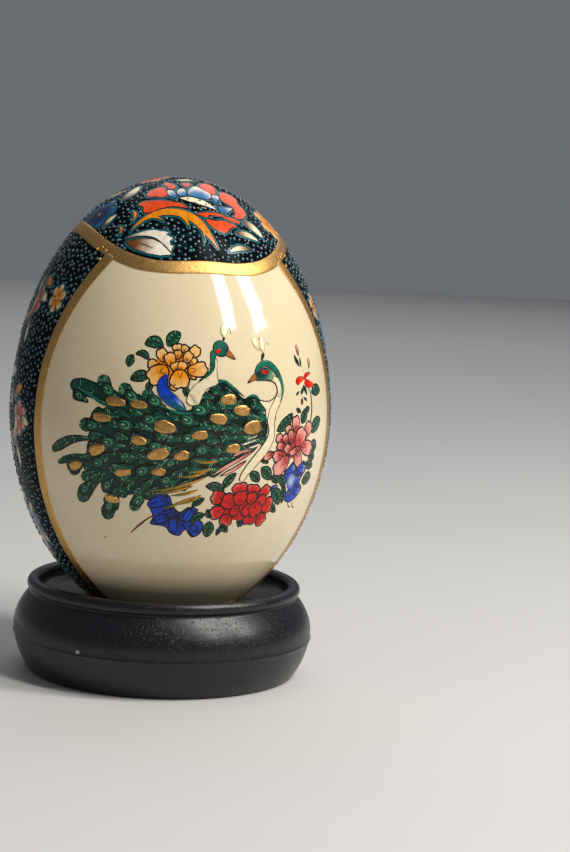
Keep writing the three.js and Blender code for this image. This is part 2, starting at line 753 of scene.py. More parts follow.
@dataclass(frozen=True)
class Paint:
    """How one enamel shape is laid on.

    Attributes:
        core: The colour at the shape's root.
        rim: The colour at its far side.
        layer: Its place in the stack of enamel coats.
        dome: How far its middle swells, in millimetres.
        ink: The width of its dark outline, or 0 for none.
        halo: The width of the teal border beyond it, or 0 for none.
        fade: The shares of its reach between which the core turns to the rim.
        foot: The height that its outline reaches down to.
    """

    core: Tint
    rim: Tint
    layer: float = 1
    dome: float = 0.0
    ink: float = INK_LINE
    halo: float = 0.0
    fade: Point = (0.35, 1.0)
    foot: float = -SINK


HALO = Paint(Tint.TEAL_HALO, Tint.TEAL_HALO, 2.2, 0.0, 0.0)


def line_paint(core: Tint, rim: Tint, layer: float) -> Paint:
    """A thin line that lies on the coats below it, with no outline."""
    return Paint(core, rim, layer, 0.0, 0.0, foot=(layer - 0.6) * LAYER)


class Enamel:
    """Closed, swelling shapes of fired enamel drawn on one chart."""

    SOFT_EDGE = 0.35
    WALL = 0.05
    CELL = 0.6

    def __init__(self, chart: Chart, seed: int) -> None:
        """Starts an empty drawing.

        Args:
            chart: Where the drawing lies on the egg.
            seed: Fixes the small differences between shapes.
        """
        self.chart = chart
        self.parts = MeshParts()
        self.outlines: list[Array] = []
        self.random = np.random.default_rng(seed)

    def _relief(self, edge: Array, paint: Paint) -> Array:
        """Height over the glaze: a short steep wall at the edge, then a soft swelling.

        Args:
            edge: Distance of each point from the outline.
            paint: How the shape is laid on.

        Returns:
            The height of each point.
        """
        climb = np.clip(edge / self.WALL, 0.0, 1.0)
        swell = 1 - (1 - np.clip(edge / self.SOFT_EDGE, 0.0, 1.0)) ** 2
        return paint.foot * (1 - climb) + (paint.layer * LAYER + paint.dome * swell) * climb

    def _lay(self, drawing: Array, triangles: Array, edge: Array, mix: Array, paint: Paint) -> None:
        """Places one drawn shape on the egg with its relief, colours and outline.

        Args:
            drawing: The shape's points on the chart.
            triangles: Its triangles.
            edge: Distance of each point from the outline.
            mix: Share of the rim colour at each point.
            paint: How it is laid on.
        """
        points = self.chart.place(drawing, self._relief(edge, paint))
        mix = np.clip(mix, 0.0, 1.0)[:, None]
        tint = paint.core.linear * (1 - mix) + paint.rim.linear * mix
        tint = tint * self.random.uniform(0.88, 1.08)
        in_lines = edge / paint.ink if paint.ink else np.full_like(edge, 9.0)
        self.parts.add(points, triangles, tint, in_lines)

    def patch(self, outline: Array, paint: Paint, root: Point | None = None) -> None:
        """Fills a closed outline that its middle can see all of.

        The grid runs from the middle to the outline in rings. The colour turns from core to rim
        with the distance from the root.

        Args:
            outline: The outline's points, anticlockwise.
            paint: How it is laid on.
            root: Where the core colour is, or None for the middle.
        """
        middle = outline.mean(0)
        if paint.halo:
            out = outline - middle
            self.outlines.append(middle + out * (1 + paint.halo / lengths(out)[:, None]))
            self.patch(self.outlines[-1], HALO)
        span = lengths(outline - middle).max()
        wall = min(self.WALL / span, 0.2)
        inner = np.linspace(0, 1, 2 + max(3, int(span / self.CELL)))[1:-1]
        inner = inner[inner < 1 - 8 * wall]
        rings = np.concatenate([inner, [1 - 6 * wall, 1 - 2.6 * wall, 1 - wall, 1.0]])
        rings = rings[rings > 0.1]
        grid = middle + rings[:, None, None] * (outline - middle)
        drawing = np.vstack([grid.reshape(-1, 2), middle, middle])
        edge = lengths(drawing[:, None] - outline).min(1)
        count = len(outline)
        edge[-2 - count:-2] = 0.0
        edge[-1] = 0.0
        start = np.asarray(root if root is not None else middle)
        away = lengths(drawing - start)
        mix = smooth_step(away / max(away.max(), 1e-6), *paint.fade)
        self._lay(drawing, turned_triangles(len(rings), count), edge, mix, paint)

    def blob(self, points: Sequence[Point], paint: Paint, root: Point | None = None,
             notch: float = 0.0) -> None:
        """Fills a smooth closed outline through a few points, turned anticlockwise first.

        Args:
            points: The points that the outline passes through.
            paint: How it is laid on.
            root: Where the core colour is, or None for the middle.
            notch: How far a fast sine with a slow swell pushes the edge in and out at the
                point farthest from the root; it grows evenly from none at the root.
        """
        rough = np.asarray(points, float)
        x, y = rough.T
        if (x * np.roll(y, -1) - y * np.roll(x, -1)).sum() < 0:
            rough = rough[::-1]
        length = lengths(np.roll(rough, -1, 0) - rough).sum()
        outline = spline(rough, int(np.clip(length / 0.28, 24, 150)), True)
        if notch:
            out = outline - outline.mean(0)
            away = lengths(outline - np.asarray(root))
            step = np.arange(len(outline))
            wave = np.sin(step * 2.2) * (0.6 + 0.4 * np.sin(step * 0.53)) * notch * away / away.max()
            outline = outline + out * (wave / lengths(out))[:, None]
        self.patch(outline, paint, root)

    def oval(self, centre: Point, length: float, width: float, angle: float, paint: Paint,
             root: Point | None = None) -> None:
        """Fills an ellipse; the angle of its length is in degrees."""
        self.petal((*centre, angle, length, width), paint, 0.0, root)

    def petal(self, petal: Petal, paint: Paint, ruffle: float = 0.07,
              root: Point | None = None) -> None:
        """Fills a petal.

        In polar form about its middle the outline is a superellipse, narrowed towards its root,
        with a notch at its tip and a slow cosine along its outer half.

        Args:
            petal: Middle x and y, direction in degrees, length and width.
            paint: How it is laid on.
            ruffle: The share by which its edge waves.
            root: Where the core colour is, or None for the petal's own root.
        """
        x, y, degrees, length, width = petal
        count = int(np.clip((length + width) * 7, 22, 60))
        angle = np.arange(count) / count * 2 * HALF_TURN
        power = 2.3 if ruffle else 2.0
        reach = (np.abs(np.cos(angle)) ** power + np.abs(np.sin(angle)) ** power) ** (-1 / power)
        outer = smooth_step(np.cos(angle), -0.4, 0.4)
        phase = self.random.uniform(-0.35, 0.35)
        bearing = np.angle(np.exp(1j * (angle - phase)))
        notch = np.exp(-(bearing / 0.22) ** 2) + 0.6 * np.exp(-((np.abs(bearing) - 0.95) / 0.2) ** 2)
        reach = reach * (1 + 0.5 * ruffle * outer - 1.5 * ruffle * notch)
        along = reach * np.cos(angle) * length / 2
        across = reach * np.sin(angle) * width / 2
        if ruffle:
            across = across * (0.86 + 0.14 * along / (length / 2))
        ahead, aside = heading(degrees)
        outline = np.array([x, y]) + along[:, None] * ahead + across[:, None] * aside
        start = np.array([x, y]) - ahead * length / 2 if root is None else root
        self.patch(outline, paint, start)

    def stroke(self, path: Sequence[Point] | Array, widths: Sequence[float], paint: Paint,
               steps: int = 0) -> None:
        """Draws a round-ended stroke whose half-width changes along its path.

        The grid runs along the path and across it. The colour turns from core to rim on the way.

        Args:
            path: Points that the middle line passes through.
            widths: Half-widths, spaced evenly along it.
            paint: How it is laid on.
            steps: How many rows to use, or 0 to judge by length.
        """
        knots = np.asarray(path, float)
        length = lengths(np.diff(knots, axis=0)).sum()
        rows = steps or int(np.clip(length / 0.22, 6, 64))
        line = spline(knots, rows)
        ahead = np.gradient(line, axis=0)
        ahead = ahead / np.maximum(lengths(ahead), 1e-9)[:, None]
        aside = left_of(ahead)
        gone = np.concatenate([[0.0], np.cumsum(lengths(np.diff(line, axis=0)))])
        where = np.linspace(0, 1, rows)
        half = np.interp(where, np.linspace(0, 1, len(widths)), widths)
        for end, side in ((gone, half[0]), (gone[-1] - gone, half[-1])):
            half = half * np.sqrt(1 - (1 - np.clip(end / max(side, 0.02), 0.02, 1.0)) ** 2)
        if paint.halo:
            wide = half[:, None] + paint.halo
            sides = np.vstack([line + aside * wide, (line - aside * wide)[::-1]])
            self.outlines.append(sides)
            longer = np.vstack([line[0] - ahead[0] * paint.halo, line,
                                line[-1] + ahead[-1] * paint.halo])
            self.stroke(longer[::2], list(np.interp(np.linspace(0, 1, 12), where, half)
                                          + paint.halo), HALO)
        columns = np.array([-1.0, -0.93, -0.78, -0.4, 0.0, 0.4, 0.78, 0.93, 1.0])
        if half.max() < 0.16:
            columns = np.array([-1.0, 0.0, 1.0])
        drawing = (line[:, None] + aside[:, None] * (columns[:, None] * half[:, None, None])
                   ).reshape(-1, 2)
        edge = ((1 - np.abs(columns)) * half[:, None]).ravel()
        mix = smooth_step(np.repeat(where, len(columns)), *paint.fade)
        self._lay(drawing, ribbon_triangles(rows, len(columns)), edge, mix, paint)

    def rosette(self, centre: Point, first: float, reach: Point, size: Point, paint: Paint) -> None:
        """Draws six petals round a middle, each a little over the one before.

        Args:
            centre: The flower's middle.
            first: The direction of its first petal in degrees.
            reach: How far the petals' middles are from it, in x and in y.
            size: A petal's length and width.
            paint: How the first petal is laid on.
        """
        for number in range(6):
            degrees = first + number * 60
            spot = centre + heading(degrees)[0] * reach
            over = replace(paint, layer=paint.layer + 0.45 * number)
            self.petal((*spot, degrees, *size), over)

    def leaf(self, leaf: Leaf, paint: Paint, veins: int = 3, vein: Tint = Tint.LEAF_PALE) -> None:
        """Draws a pointed leaf with a dark midrib and light streaks between its veins.

        Args:
            leaf: Root x and y, tip x and y, width, and how far it bows to its left.
            paint: How it is laid on.
            veins: Streaks on each side.
            vein: The streaks' colour.
        """
        x0, y0, x1, y1, width, bow = leaf
        root, tip = np.array([x0, y0]), np.array([x1, y1])
        ahead = tip - root
        aside = left_of(ahead) / lengths(ahead)
        path = [root, root + ahead * 0.5 + aside * bow, tip]
        share = np.array([0.12, 0.62, 0.95, 1.0, 0.88, 0.6, 0.05])
        self.stroke(path, list(share * width / 2), paint)
        line = spline(path, 12)
        over = paint.layer + 1.2
        streak = line_paint(paint.rim, vein, over)
        reach = width * 0.34
        for number in range(veins):
            at = line[2 + number * 7 // veins]
            for side in (-1, 1):
                end = at + ahead * (0.17 + 0.04 * number) + aside * side * reach * (1 - 0.16 * number)
                start = at + aside * side * width * 0.07
                self.stroke([start, (start + end) / 2 + ahead * 0.04, end],
                            [0.04, width * 0.075, 0.03], streak, 6)
        self.stroke(line[:-1], [0.08, 0.08, 0.03], line_paint(Tint.INK, Tint.INK, over), 9)

    def ink(self, path: Sequence[Point], width: float = 0.1, layer: float = 4,
            tint: Tint = Tint.INK) -> None:
        """Draws a fine line that thins towards its ends."""
        self.stroke(path, [width * 0.35, width * 0.5, width * 0.5, width * 0.2],
                    line_paint(tint, tint, layer))


@cache
def material(finish: object) -> bpy.types.Material:
    """A finish's material, made once."""
    return finish.material()


def fired(piece: bpy.types.Object) -> bpy.types.Object:
    """Rides a piece on the egg.

    Args:
        piece: The piece.

    Returns:
        The same piece.
    """
    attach(piece, "egg")
    return piece


# ---- the egg and its borders


@dataclass
class Porcelain:
    """The hollow glazed shell, with its vent at the tail."""

    form: EggForm
    wall: float = 3.0
    vent: float = 3.0
    rows: int = 150
    inner_rows: int = 22
    columns: int = 256

    def build(self) -> bpy.types.Object:
        """Turns the outer outline and the same one moved in by the wall, joined at the vent.

        Returns:
            The piece.
        """
        form = self.form
        low = -math.acos(self.vent / form.radius)
        outside = np.linspace(HALF_TURN / 2 - 1e-3, low, self.rows)
        inside_lat = np.linspace(low + 0.0105, HALF_TURN / 2 - 1e-3, self.inner_rows)
        azimuth = np.arange(self.columns) / self.columns * 2 * HALF_TURN
        latitude = np.concatenate([outside, inside_lat])[:, None]
        lift = np.concatenate([np.zeros(self.rows), np.full(self.inner_rows, -self.wall)])[:, None]
        shell = form.surface(azimuth[None, :] + 0 * latitude, latitude + 0 * azimuth, lift)
        tips = np.array([[0, 0, form.top], [0, 0, form.top - self.wall]])
        parts = MeshParts()
        parts.add(np.vstack([shell.reshape(-1, 3), tips]),
                  turned_triangles(self.rows + self.inner_rows, self.columns))
        piece = fired(parts.piece("porcelain_egg", material(IvoryGlaze())))
        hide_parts("egg_shell")
        return piece


@dataclass
class Layout:
    """Where the crown, the picture panels and the side fields meet on the egg.

    The crown's border is a superellipse over the tip, longer towards the two panels. A panel's
    half-angle narrows with the cube of the distance from its widest level.
    """

    form: EggForm
    band: float = 2.3
    crown_side: float = 19.5
    crown_front: float = 25.9
    crown_power: float = 2.6
    panel_widest: float = 38.0
    panel_half: float = math.radians(64.2)
    panel_pinch: float = 0.30
    panel_reach: float = 31.3
    ring_height: float = 13.0

    def crown_arc(self, azimuth: Array) -> Array:
        """The arc from the tip to the middle of the crown's border.

        Args:
            azimuth: Azimuths in radians.

        Returns:
            The arc at each.
        """
        side = np.abs(np.sin(azimuth)) / self.crown_side
        front = np.abs(np.cos(azimuth)) / self.crown_front
        return (side**self.crown_power + front**self.crown_power) ** (-1 / self.crown_power)

    def panel_edge(self, height: Array) -> Array:
        """The azimuth from a panel's middle to the middle of its side border."""
        away = np.abs(height - self.panel_widest) / self.panel_reach
        return self.panel_half * (1 - self.panel_pinch * away**3)

    def side_top(self) -> float:
        """The height at which a side border meets the crown's border.

        Returns:
            The height.
        """
        height = np.linspace(50, self.form.top - 1, 2000)
        arc = self.form.arc_at(self.form.latitude_at(height))
        gap = arc - self.crown_arc(self.panel_edge(height))
        return float(height[np.argmax(gap < 0)])

    def on_crown(self, spots: Array) -> Array:
        """Whether drawn spots lie inside the crown's border.

        Args:
            spots: Points of the crown's chart.

        Returns:
            A truth value for each spot.
        """
        bearing = np.arctan2(spots[:, 0], -spots[:, 1])
        return lengths(spots) < self.crown_arc(bearing) - self.band / 2 - 0.15

    def on_side(self, spots: Array) -> Array:
        """Whether drawn spots lie between the panels, the crown and the tail ring.

        Args:
            spots: Points of a side field's chart.

        Returns:
            A truth value for each spot.
        """
        latitude = self.form.latitude_at(spots[:, 1])
        room = (HALF_TURN / 2 - self.panel_edge(spots[:, 1])) * self.form.radius
        girth = np.maximum(self.form.outline(latitude)[0] / self.form.radius, 0.3)
        beside = np.abs(spots[:, 0]) < room - (self.band / 2 + 0.1) / girth
        border = self.crown_arc(HALF_TURN / 2 + spots[:, 0] / self.form.radius)
        below = self.form.arc_at(latitude) > border + 1.4
        return beside & below & (spots[:, 1] > self.ring_height + 1.1)


@dataclass
class Gilding:
    """The gilt borders: round the crown, down both sides of each panel and round the tail."""

    layout: Layout
    height: float = 0.11

    def _band(self, parts: MeshParts, line: Array, width: float, closed: bool) -> None:
        """Lays a flat, soft-edged ribbon along a line of surface points.

        Args:
            parts: The mesh that it joins.
            line: Points along its middle.
            width: Its full width.
            closed: Whether it runs all the way round.
        """
        form = self.layout.form
        if closed:
            ahead = np.roll(line, -1, 0) - np.roll(line, 1, 0)
        else:
            ahead = np.gradient(line, axis=0)
        up = form.settled(line, 1.0) - form.settled(line)
        aside = np.cross(up, ahead)
        aside = aside / np.linalg.norm(aside, axis=1)[:, None]
        across = np.array([-1.0, -0.94, -0.8, -0.4, 0.0, 0.4, 0.8, 0.94, 1.0])
        relief = np.array([-SINK, 0.06, 0.10, 0.11, 0.115, 0.11, 0.10, 0.06, -SINK])
        relief = relief * self.height / 0.11
        wobble = 1 + 0.03 * np.sin(np.arange(len(line)) * 0.37) * np.sin(np.arange(len(line)) * 0.11)
        offset = across[None, :, None] * wobble[:, None, None] * width / 2
        flat = line[:, None] + aside[:, None] * offset
        points = form.settled(flat, relief[None, :])
        parts.add(points.reshape(-1, 3), ribbon_triangles(len(line), len(across), closed))

    def build(self) -> list[bpy.types.Object]:
        """Makes the crown border, the four side borders and the tail ring.

        Returns:
            The pieces.
        """
        layout, form = self.layout, self.layout.form
        finish = material(Gilt("gilt_border"))
        around = np.linspace(0, 2 * HALF_TURN, 320, endpoint=False)
        crown = form.surface(around, form.latitude_at_arc(layout.crown_arc(around)))
        ring = form.surface(around, form.latitude_at(np.full(320, layout.ring_height)))
        pieces = []
        for name, line, width in (("gilt_crown_border", crown, layout.band),
                                  ("gilt_tail_ring", ring, layout.band * 0.6)):
            parts = MeshParts()
            self._band(parts, line, width, True)
            pieces.append(fired(parts.piece(name, finish)))
        height = np.linspace(layout.side_top() - 0.4, layout.ring_height, 150)
        for panel, facing in (("front", 0.0), ("back", HALF_TURN)):
            parts = MeshParts()
            for side in (-1, 1):
                azimuth = facing + side * layout.panel_edge(height)
                line = form.surface(azimuth, form.latitude_at(height))
                self._band(parts, line, layout.band * 0.9, False)
            pieces.append(fired(parts.piece(f"gilt_{panel}_side_borders", finish)))
        return pieces


@dataclass
class Ground:
    """The black ground enamel of the crown and of the two side fields, and its raised beads."""

    layout: Layout
    coat: float = 0.006
    bead_radius: float = 0.31
    bead_pitch: float = 1.12
    bead_lean: float = 0.4
    bead_scatter: float = 0.28

    def crown(self) -> bpy.types.Object:
        """A thin cap from the tip to the crown's border, in rings.

        Returns:
            The piece.
        """
        form, rows, columns = self.layout.form, 60, 240
        azimuth = np.arange(columns) / columns * 2 * HALF_TURN
        share = np.linspace(0.004, 1, rows)[:, None]
        latitude = form.latitude_at_arc(self.layout.crown_arc(azimuth) * share)
        lift = np.full((rows, 1), self.coat)
        lift[-1] = -SINK
        grid = form.surface(azimuth + 0 * share, latitude, lift).reshape(-1, 3)
        tips = form.surface(np.zeros(2), np.full(2, HALF_TURN / 2), np.array([self.coat, -SINK]))
        parts = MeshParts()
        parts.add(np.vstack([grid, tips]), turned_triangles(rows, columns))
        return fired(parts.piece("crown_ground", material(GroundEnamel())))

    def side(self, name: str, facing: float) -> bpy.types.Object:
        """A thin sheet between two panels, from the crown's border to the tail ring.

        Args:
            name: The piece's name.
            facing: The azimuth of its middle.

        Returns:
            The piece.
        """
        form, layout, rows, columns = self.layout.form, self.layout, 140, 48
        share = np.linspace(-1, 1, columns)[None, :]
        fall = np.linspace(0, 1, rows)[:, None]
        azimuth = facing + share
        for _ in range(7):
            top = form.outline(form.latitude_at_arc(layout.crown_arc(azimuth[:1])))[1]
            height = top * (1 - fall) + layout.ring_height * fall
            azimuth = facing + share * (HALF_TURN / 2 - layout.panel_edge(height))
        lift = np.full((rows, columns), -SINK)
        lift[1:-1, 1:-1] = self.coat
        latitude = form.latitude_at(height)
        both = [form.surface(azimuth, latitude, depth).reshape(-1, 3) for depth in (lift, -3 * SINK)]
        number = np.arange(rows * columns).reshape(rows, columns)
        rim = np.concatenate([number[0], number[1:, -1], number[-1, -2::-1], number[-2:0:-1, 0]])
        ring = np.concatenate([rim, rim + rows * columns])
        body = grid_triangles(rows, columns)
        wall = ring[grid_triangles(2, len(rim), True)[:, ::-1]]
        parts = MeshParts()
        parts.add(np.vstack(both), np.vstack([body, body[:, ::-1] + rows * columns, wall]))
        return fired(parts.piece(name, material(GroundEnamel())))

    def beads(self, name: str, chart: Chart, level: float, keep: Callable[[Array], Array],
              outlines: Sequence[Array], seed: int) -> bpy.types.Object:
        """Sets a loose lattice of raised dots wherever there is bare ground.

        Each dot is a low dome: three rings that rise ever more slowly to its top.

        Args:
            name: The piece's name.
            chart: The chart whose drawing the lattice fills.
            level: The drawn height of the lattice's middle.
            keep: Tells which drawn points lie on the ground.
            outlines: Motifs to stay clear of.
            seed: Fixes the scatter.

        Returns:
            The piece.
        """
        random = np.random.default_rng(seed)
        pitch = self.bead_pitch
        x, y = np.meshgrid(np.arange(-40, 40, pitch), np.arange(-40, 40, pitch * 0.87))
        x[1::2] += pitch / 2
        lean, scatter = self.bead_lean, self.bead_scatter
        # Leaning stretches the lattice by 1.077, which is taken out again.
        turned = np.stack([x.ravel() - lean * y.ravel(), y.ravel() + lean * x.ravel()], -1) / 1.077
        spots = turned + random.uniform(-scatter, scatter, turned.shape)
        spots[:, 1] += level
        spots = spots[keep(spots)]
        for outline in outlines:
            centre = outline.mean(0)
            near = lengths(spots - centre) < lengths(outline - centre).max() + 0.3
            hit = np.zeros(len(spots), bool)
            hit[near] = inside(outline, spots[near])
            spots = spots[~hit]
        middle = chart.place(spots, 0.0)
        out = chart.place(spots, 1.0) - middle
        aside = np.cross(out, [0.0, 0.0, 1.0])
        aside = aside / np.linalg.norm(aside, axis=1)[:, None]
        upward = np.cross(out, aside)
        size = self.bead_radius * random.uniform(0.72, 1.14, len(spots))
        sectors = 8
        angle = np.arange(sectors) / sectors * 2 * HALF_TURN
        rim = np.array([0.46, 0.84, 1.0])[:, None]
        rise = np.array([0.52, 0.30, -0.1])[:, None]
        local = np.stack([rim * np.cos(angle), rim * np.sin(angle), rise + 0 * angle], -1)
        local = np.vstack([local.reshape(-1, 3), [[0, 0, 0.58], [0, 0, -0.2]]])
        axes = np.stack([aside, upward, out], 1)
        points = middle[:, None] + np.einsum("vk,bkc->bvc", local, axes) * size[:, None, None]
        first = np.arange(len(spots))[:, None, None] * len(local)
        parts = MeshParts()
        parts.add(points.reshape(-1, 3), (first + turned_triangles(3, sectors)).reshape(-1, 3))
        return fired(parts.piece(name, material(BeadEnamel())))


def fire(name: str, enamels: Sequence[Enamel], gilt: Gilt | None = None) -> bpy.types.Object:
    """Makes one piece of one or more drawings, riding on the egg.

    Args:
        name: The piece's name.
        enamels: The drawings.
        gilt: Its gold finish, or None where it is painted in its own colours.

    Returns:
        The piece.
    """
    parts = MeshParts()
    for drawn in (enamel.parts for enamel in enamels):
        for number, triangles in enumerate(drawn.triangles):
            colours = () if gilt else (drawn.tints[number], drawn.edges[number])
            parts.add(drawn.points[number], triangles - triangles.min(), *colours)
    piece = parts.piece(name, material(gilt or PaintedEnamel()))
    return fired(piece)


# ---- the crown


@dataclass
class Crown:
    """Large peonies, acanthus scrolls and leaves on the beaded crown, one half at a time."""

    form: EggForm
    halo: float = 0.30
    red_petals: tuple[tuple[Point, ...], ...] = (
        ((-4.1, -10.2), (-3.9, -8.6), (-4, -7.3), (-5, -6.8), (-6.7, -7.2), (-7.7, -8.4),
         (-7.3, -9.4), (-6.3, -9.8), (-5.3, -10.5)),
        ((-2.6, -8.4), (-2, -7.4), (-2.6, -6), (-3.3, -5), (-4.3, -6.1), (-3.8, -7.2),
         (-3.7, -8.3)),
        ((-0.5, -8), (0.4, -7.2), (0.5, -6.2), (-0.5, -5.8), (-1.3, -6.6)),
        ((2.8, -9.2), (3.9, -9.6), (4.6, -8.6), (4.8, -7), (4.6, -5.3), (3.7, -4.5),
         (2.8, -5), (1.9, -6.2), (1.7, -7.4)),
        ((5.2, -10.8), (4.8, -9.5), (5, -8), (6, -6.9), (7.6, -6.5), (8.6, -7.6),
         (8.6, -9.2), (9.6, -10.2), (9.9, -11.9), (9.2, -13.5), (8, -14.4), (6.9, -14.2),
         (7.3, -12.9), (6.9, -11.5)),
        ((-1.1, -14.3), (-2, -12.9), (-3.6, -12), (-5.2, -11.2), (-6.8, -10.5),
         (-8.5, -9.8), (-9.7, -10.3), (-9, -11.4), (-9.3, -12.5), (-8.6, -13.5), (-6.5, -13.5),
         (-4.2, -13.5), (-2.4, -14)),
        ((1.9, -16.2), (3, -16.4), (5, -15.9), (7.9, -16.4), (6.6, -17.1), (5.9, -18.1),
         (4.9, -18.9), (3.6, -18.8), (2.2, -18), (1.2, -16.8)),
        ((4.4, -15.2), (5.4, -14.7), (7, -14.5), (8.6, -14.9), (7.6, -15.7), (5.8, -15.7)),
        ((2.4, -15.6), (5.3, -15.2), (5.1, -14.6), (3.4, -14.5), (1.4, -14.8), (-0.4, -15.4),
         (0.9, -16.1), (3, -16.1)),
    )
    blue_petals: tuple[tuple[Point, ...], ...] = (
        ((-2.9, -11.5), (-2.5, -10.2), (-3, -8.7), (-4, -8.5), (-4.3, -9.6), (-3.9, -10.9)),
        ((-1.2, -11.1), (-0.8, -10.2), (-1.1, -8.3), (-2.5, -9), (-2.5, -10.7)),
        ((4, -12), (4.5, -11.6), (5, -10.3), (4.6, -9.2), (3.3, -9.9), (3.4, -11.6)),
        ((0.9, -11.4), (2.5, -11.6), (3.5, -10.6), (3.4, -9.3), (2.3, -8.2), (1.2, -7.2),
         (0.1, -8), (-0.7, -9.2), (-0.8, -10.8)),
        ((4.3, -13.9), (4.1, -12.7), (5.6, -12.3), (7.3, -11.6), (6.5, -13.2), (5.7, -14.2)),
    )
    leaf_paths: tuple[Leaf, ...] = (
        (8.6, -14.3, 13.5, -15.2, 2.1, 0.5), (7, -18, 12.4, -16.9, 1.5, 0.4),
        (-11.6, -6.2, -7.6, -3.2, 2.4, -0.5), (-8.8, -2, -12.6, 0.8, 2, 0.6),
        (2, -3.5, -1.8, -4.4, 1.4, 0.3), (8.2, -4, 5, -0.8, 2.2, -0.5),
        (10.8, -4.4, 13.4, -0.6, 2.2, 0.5), (10.6, -19.9, 5.2, -22.5, 1.3, -0.4),
        (-16.6, -10.4, -13.2, -9.6, 1.5, 0.3), (1, -1.6, 3.4, 1.6, 1.7, 0.4),
    )

    def paint(self, turn: float, seed: int) -> Enamel:
        """Draws one half of the crown.

        Args:
            turn: The azimuth that the half faces.
            seed: Fixes its small differences.

        Returns:
            The drawing.
        """
        enamel = Enamel(CrownChart(self.form, turn), seed)
        self._flower(enamel)
        self._scroll(enamel)
        self._side_flowers(enamel)
        for leaf in self.leaf_paths:
            enamel.leaf(leaf, Paint(Tint.BROWN, Tint.CREAM, 3, 0.03, 0.14, self.halo, (0.1, 0.7)),
                        2, Tint.WHITE)
        return enamel

    def _flower(self, enamel: Enamel) -> None:
        """The large red peony with a blue and cream heart.

        Args:
            enamel: The drawing to add to.
        """
        for petals, core, rim, line in (
            (self.red_petals, Tint.VERMILION, Tint.CORAL_PALE, Tint.INK),
            (self.blue_petals, Tint.SKY, Tint.WHITE, Tint.NAVY),
        ):
            for number, petal in enumerate(petals):
                points = np.asarray(petal)
                root, middle = points[0], points.mean(0)
                layer = 3 + 0.4 * number + (4 if core is Tint.SKY else 0)
                fade = (0.3, 0.9) if core is Tint.SKY else (0.78, 1.3)
                paint = Paint(core, rim, layer, 0.03, 0.17, self.halo, fade)
                enamel.blob(petal, paint, tuple(root), 0.07 if core is Tint.SKY else 0.15)
                aside = np.array([middle[1] - root[1], root[0] - middle[0]]) * 0.3
                for side in (-1, 0, 1):
                    end = root + (middle - root) * 0.95 + aside * side
                    start = root + (middle - root) * 0.12 + aside * side * 0.3
                    enamel.ink([start, (start + end) / 2 + aside * side * 0.1, end],
                               0.30 if core is Tint.SKY else 0.22, layer + 3, line)
        enamel.stroke([(-2.4, -11.5), (-0.6, -11.9), (1.6, -12.7), (3.9, -13.9)],
                      [0.25, 0.85, 0.85, 0.2], Paint(Tint.CREAM, Tint.WHITE, 14, 0.06, 0.15))
        for number in range(8):
            spot = (-0.9 + 0.68 * number, -13.9 - 0.2 * math.sin(number * 1.4) - 0.06 * number)
            enamel.oval(spot, 0.5, 0.4, 20, Paint(Tint.CREAM, Tint.ORANGE, 14, 0.10, 0.08))

    def _scroll(self, enamel: Enamel) -> None:
        """The orange acanthus scroll and the split white leaf below it.

        Args:
            enamel: The drawing to add to.
        """
        gold = Paint(Tint.ORANGE, Tint.ORANGE, 6, 0.03, 0.13, self.halo)
        for path, widths in (
            ([(-12.6, -15.8), (-10.6, -14.8), (-8, -14.2), (-5, -14.4), (-2.4, -15.4),
              (-0.4, -16.9), (1.3, -19.2), (3.6, -22.9)],
             [0.12, 0.42, 0.72, 0.92, 1.00, 1.00, 0.85, 0.12]),
            ([(-8.2, -14.4), (-6.9, -15.2), (-6.2, -16.5)], [0.40, 0.42, 0.05]),
            ([(-3.6, -15), (-2.2, -16.6), (-1.9, -18.9)], [0.50, 0.55, 0.05]),
            ([(-0.4, -17), (0.7, -19), (0.6, -21.4)], [0.50, 0.45, 0.05]),
            ([(-10.9, -10.9), (-10.5, -12.4), (-11.6, -14)], [0.08, 0.50, 0.10]),
            ([(-14, -12.6), (-13.6, -13.9), (-14.4, -15.2)], [0.08, 0.45, 0.10]),
        ):
            enamel.stroke(path, widths, gold)
        lobe = Paint(Tint.WHITE, Tint.WHITE, 4, 0, 0.14, self.halo)
        for tip in ((-5.5, -18.9), (-4.9, -20.1), (-5.1, -21.6)):
            enamel.stroke([(-7.6, -18.9), (tip[0] - 1.2, tip[1] + 0.1), tip], [0.8, 0.75, 0.08], lobe)
        enamel.stroke([(-13.6, -16.4), (-11, -17.1), (-8.4, -18.2), (-6.9, -19.8), (-5.9, -22.6)],
                      [0.10, 0.34, 0.75, 0.95, 0.10],
                      Paint(Tint.BROWN, Tint.WHITE, 6, 0, 0, self.halo, (0, 0.4)))
        enamel.stroke([(-13.8, -17.1), (-12, -18.7), (-9.6, -20.4), (-7.6, -21.9), (-5.9, -23.2)],
                      [0.15, 1.15, 1.55, 1.20, 0.10],
                      Paint(Tint.BROWN, Tint.WHITE, 7, 0, 0.14, self.halo, (0.2, 0.7)))
        enamel.ink([(-13.8, -16.7), (-10.8, -17.7), (-8.2, -19.5), (-6, -22.9)], 0.26, 12)
        for offset in (0, 0.6, 1.2):
            enamel.ink([(-12.4 + offset, -17.8 - offset), (-11.2 + offset, -19 - offset * 0.9),
                        (-10 + offset, -20.6 - offset * 0.6)], 0.10, 11, Tint.BROWN)

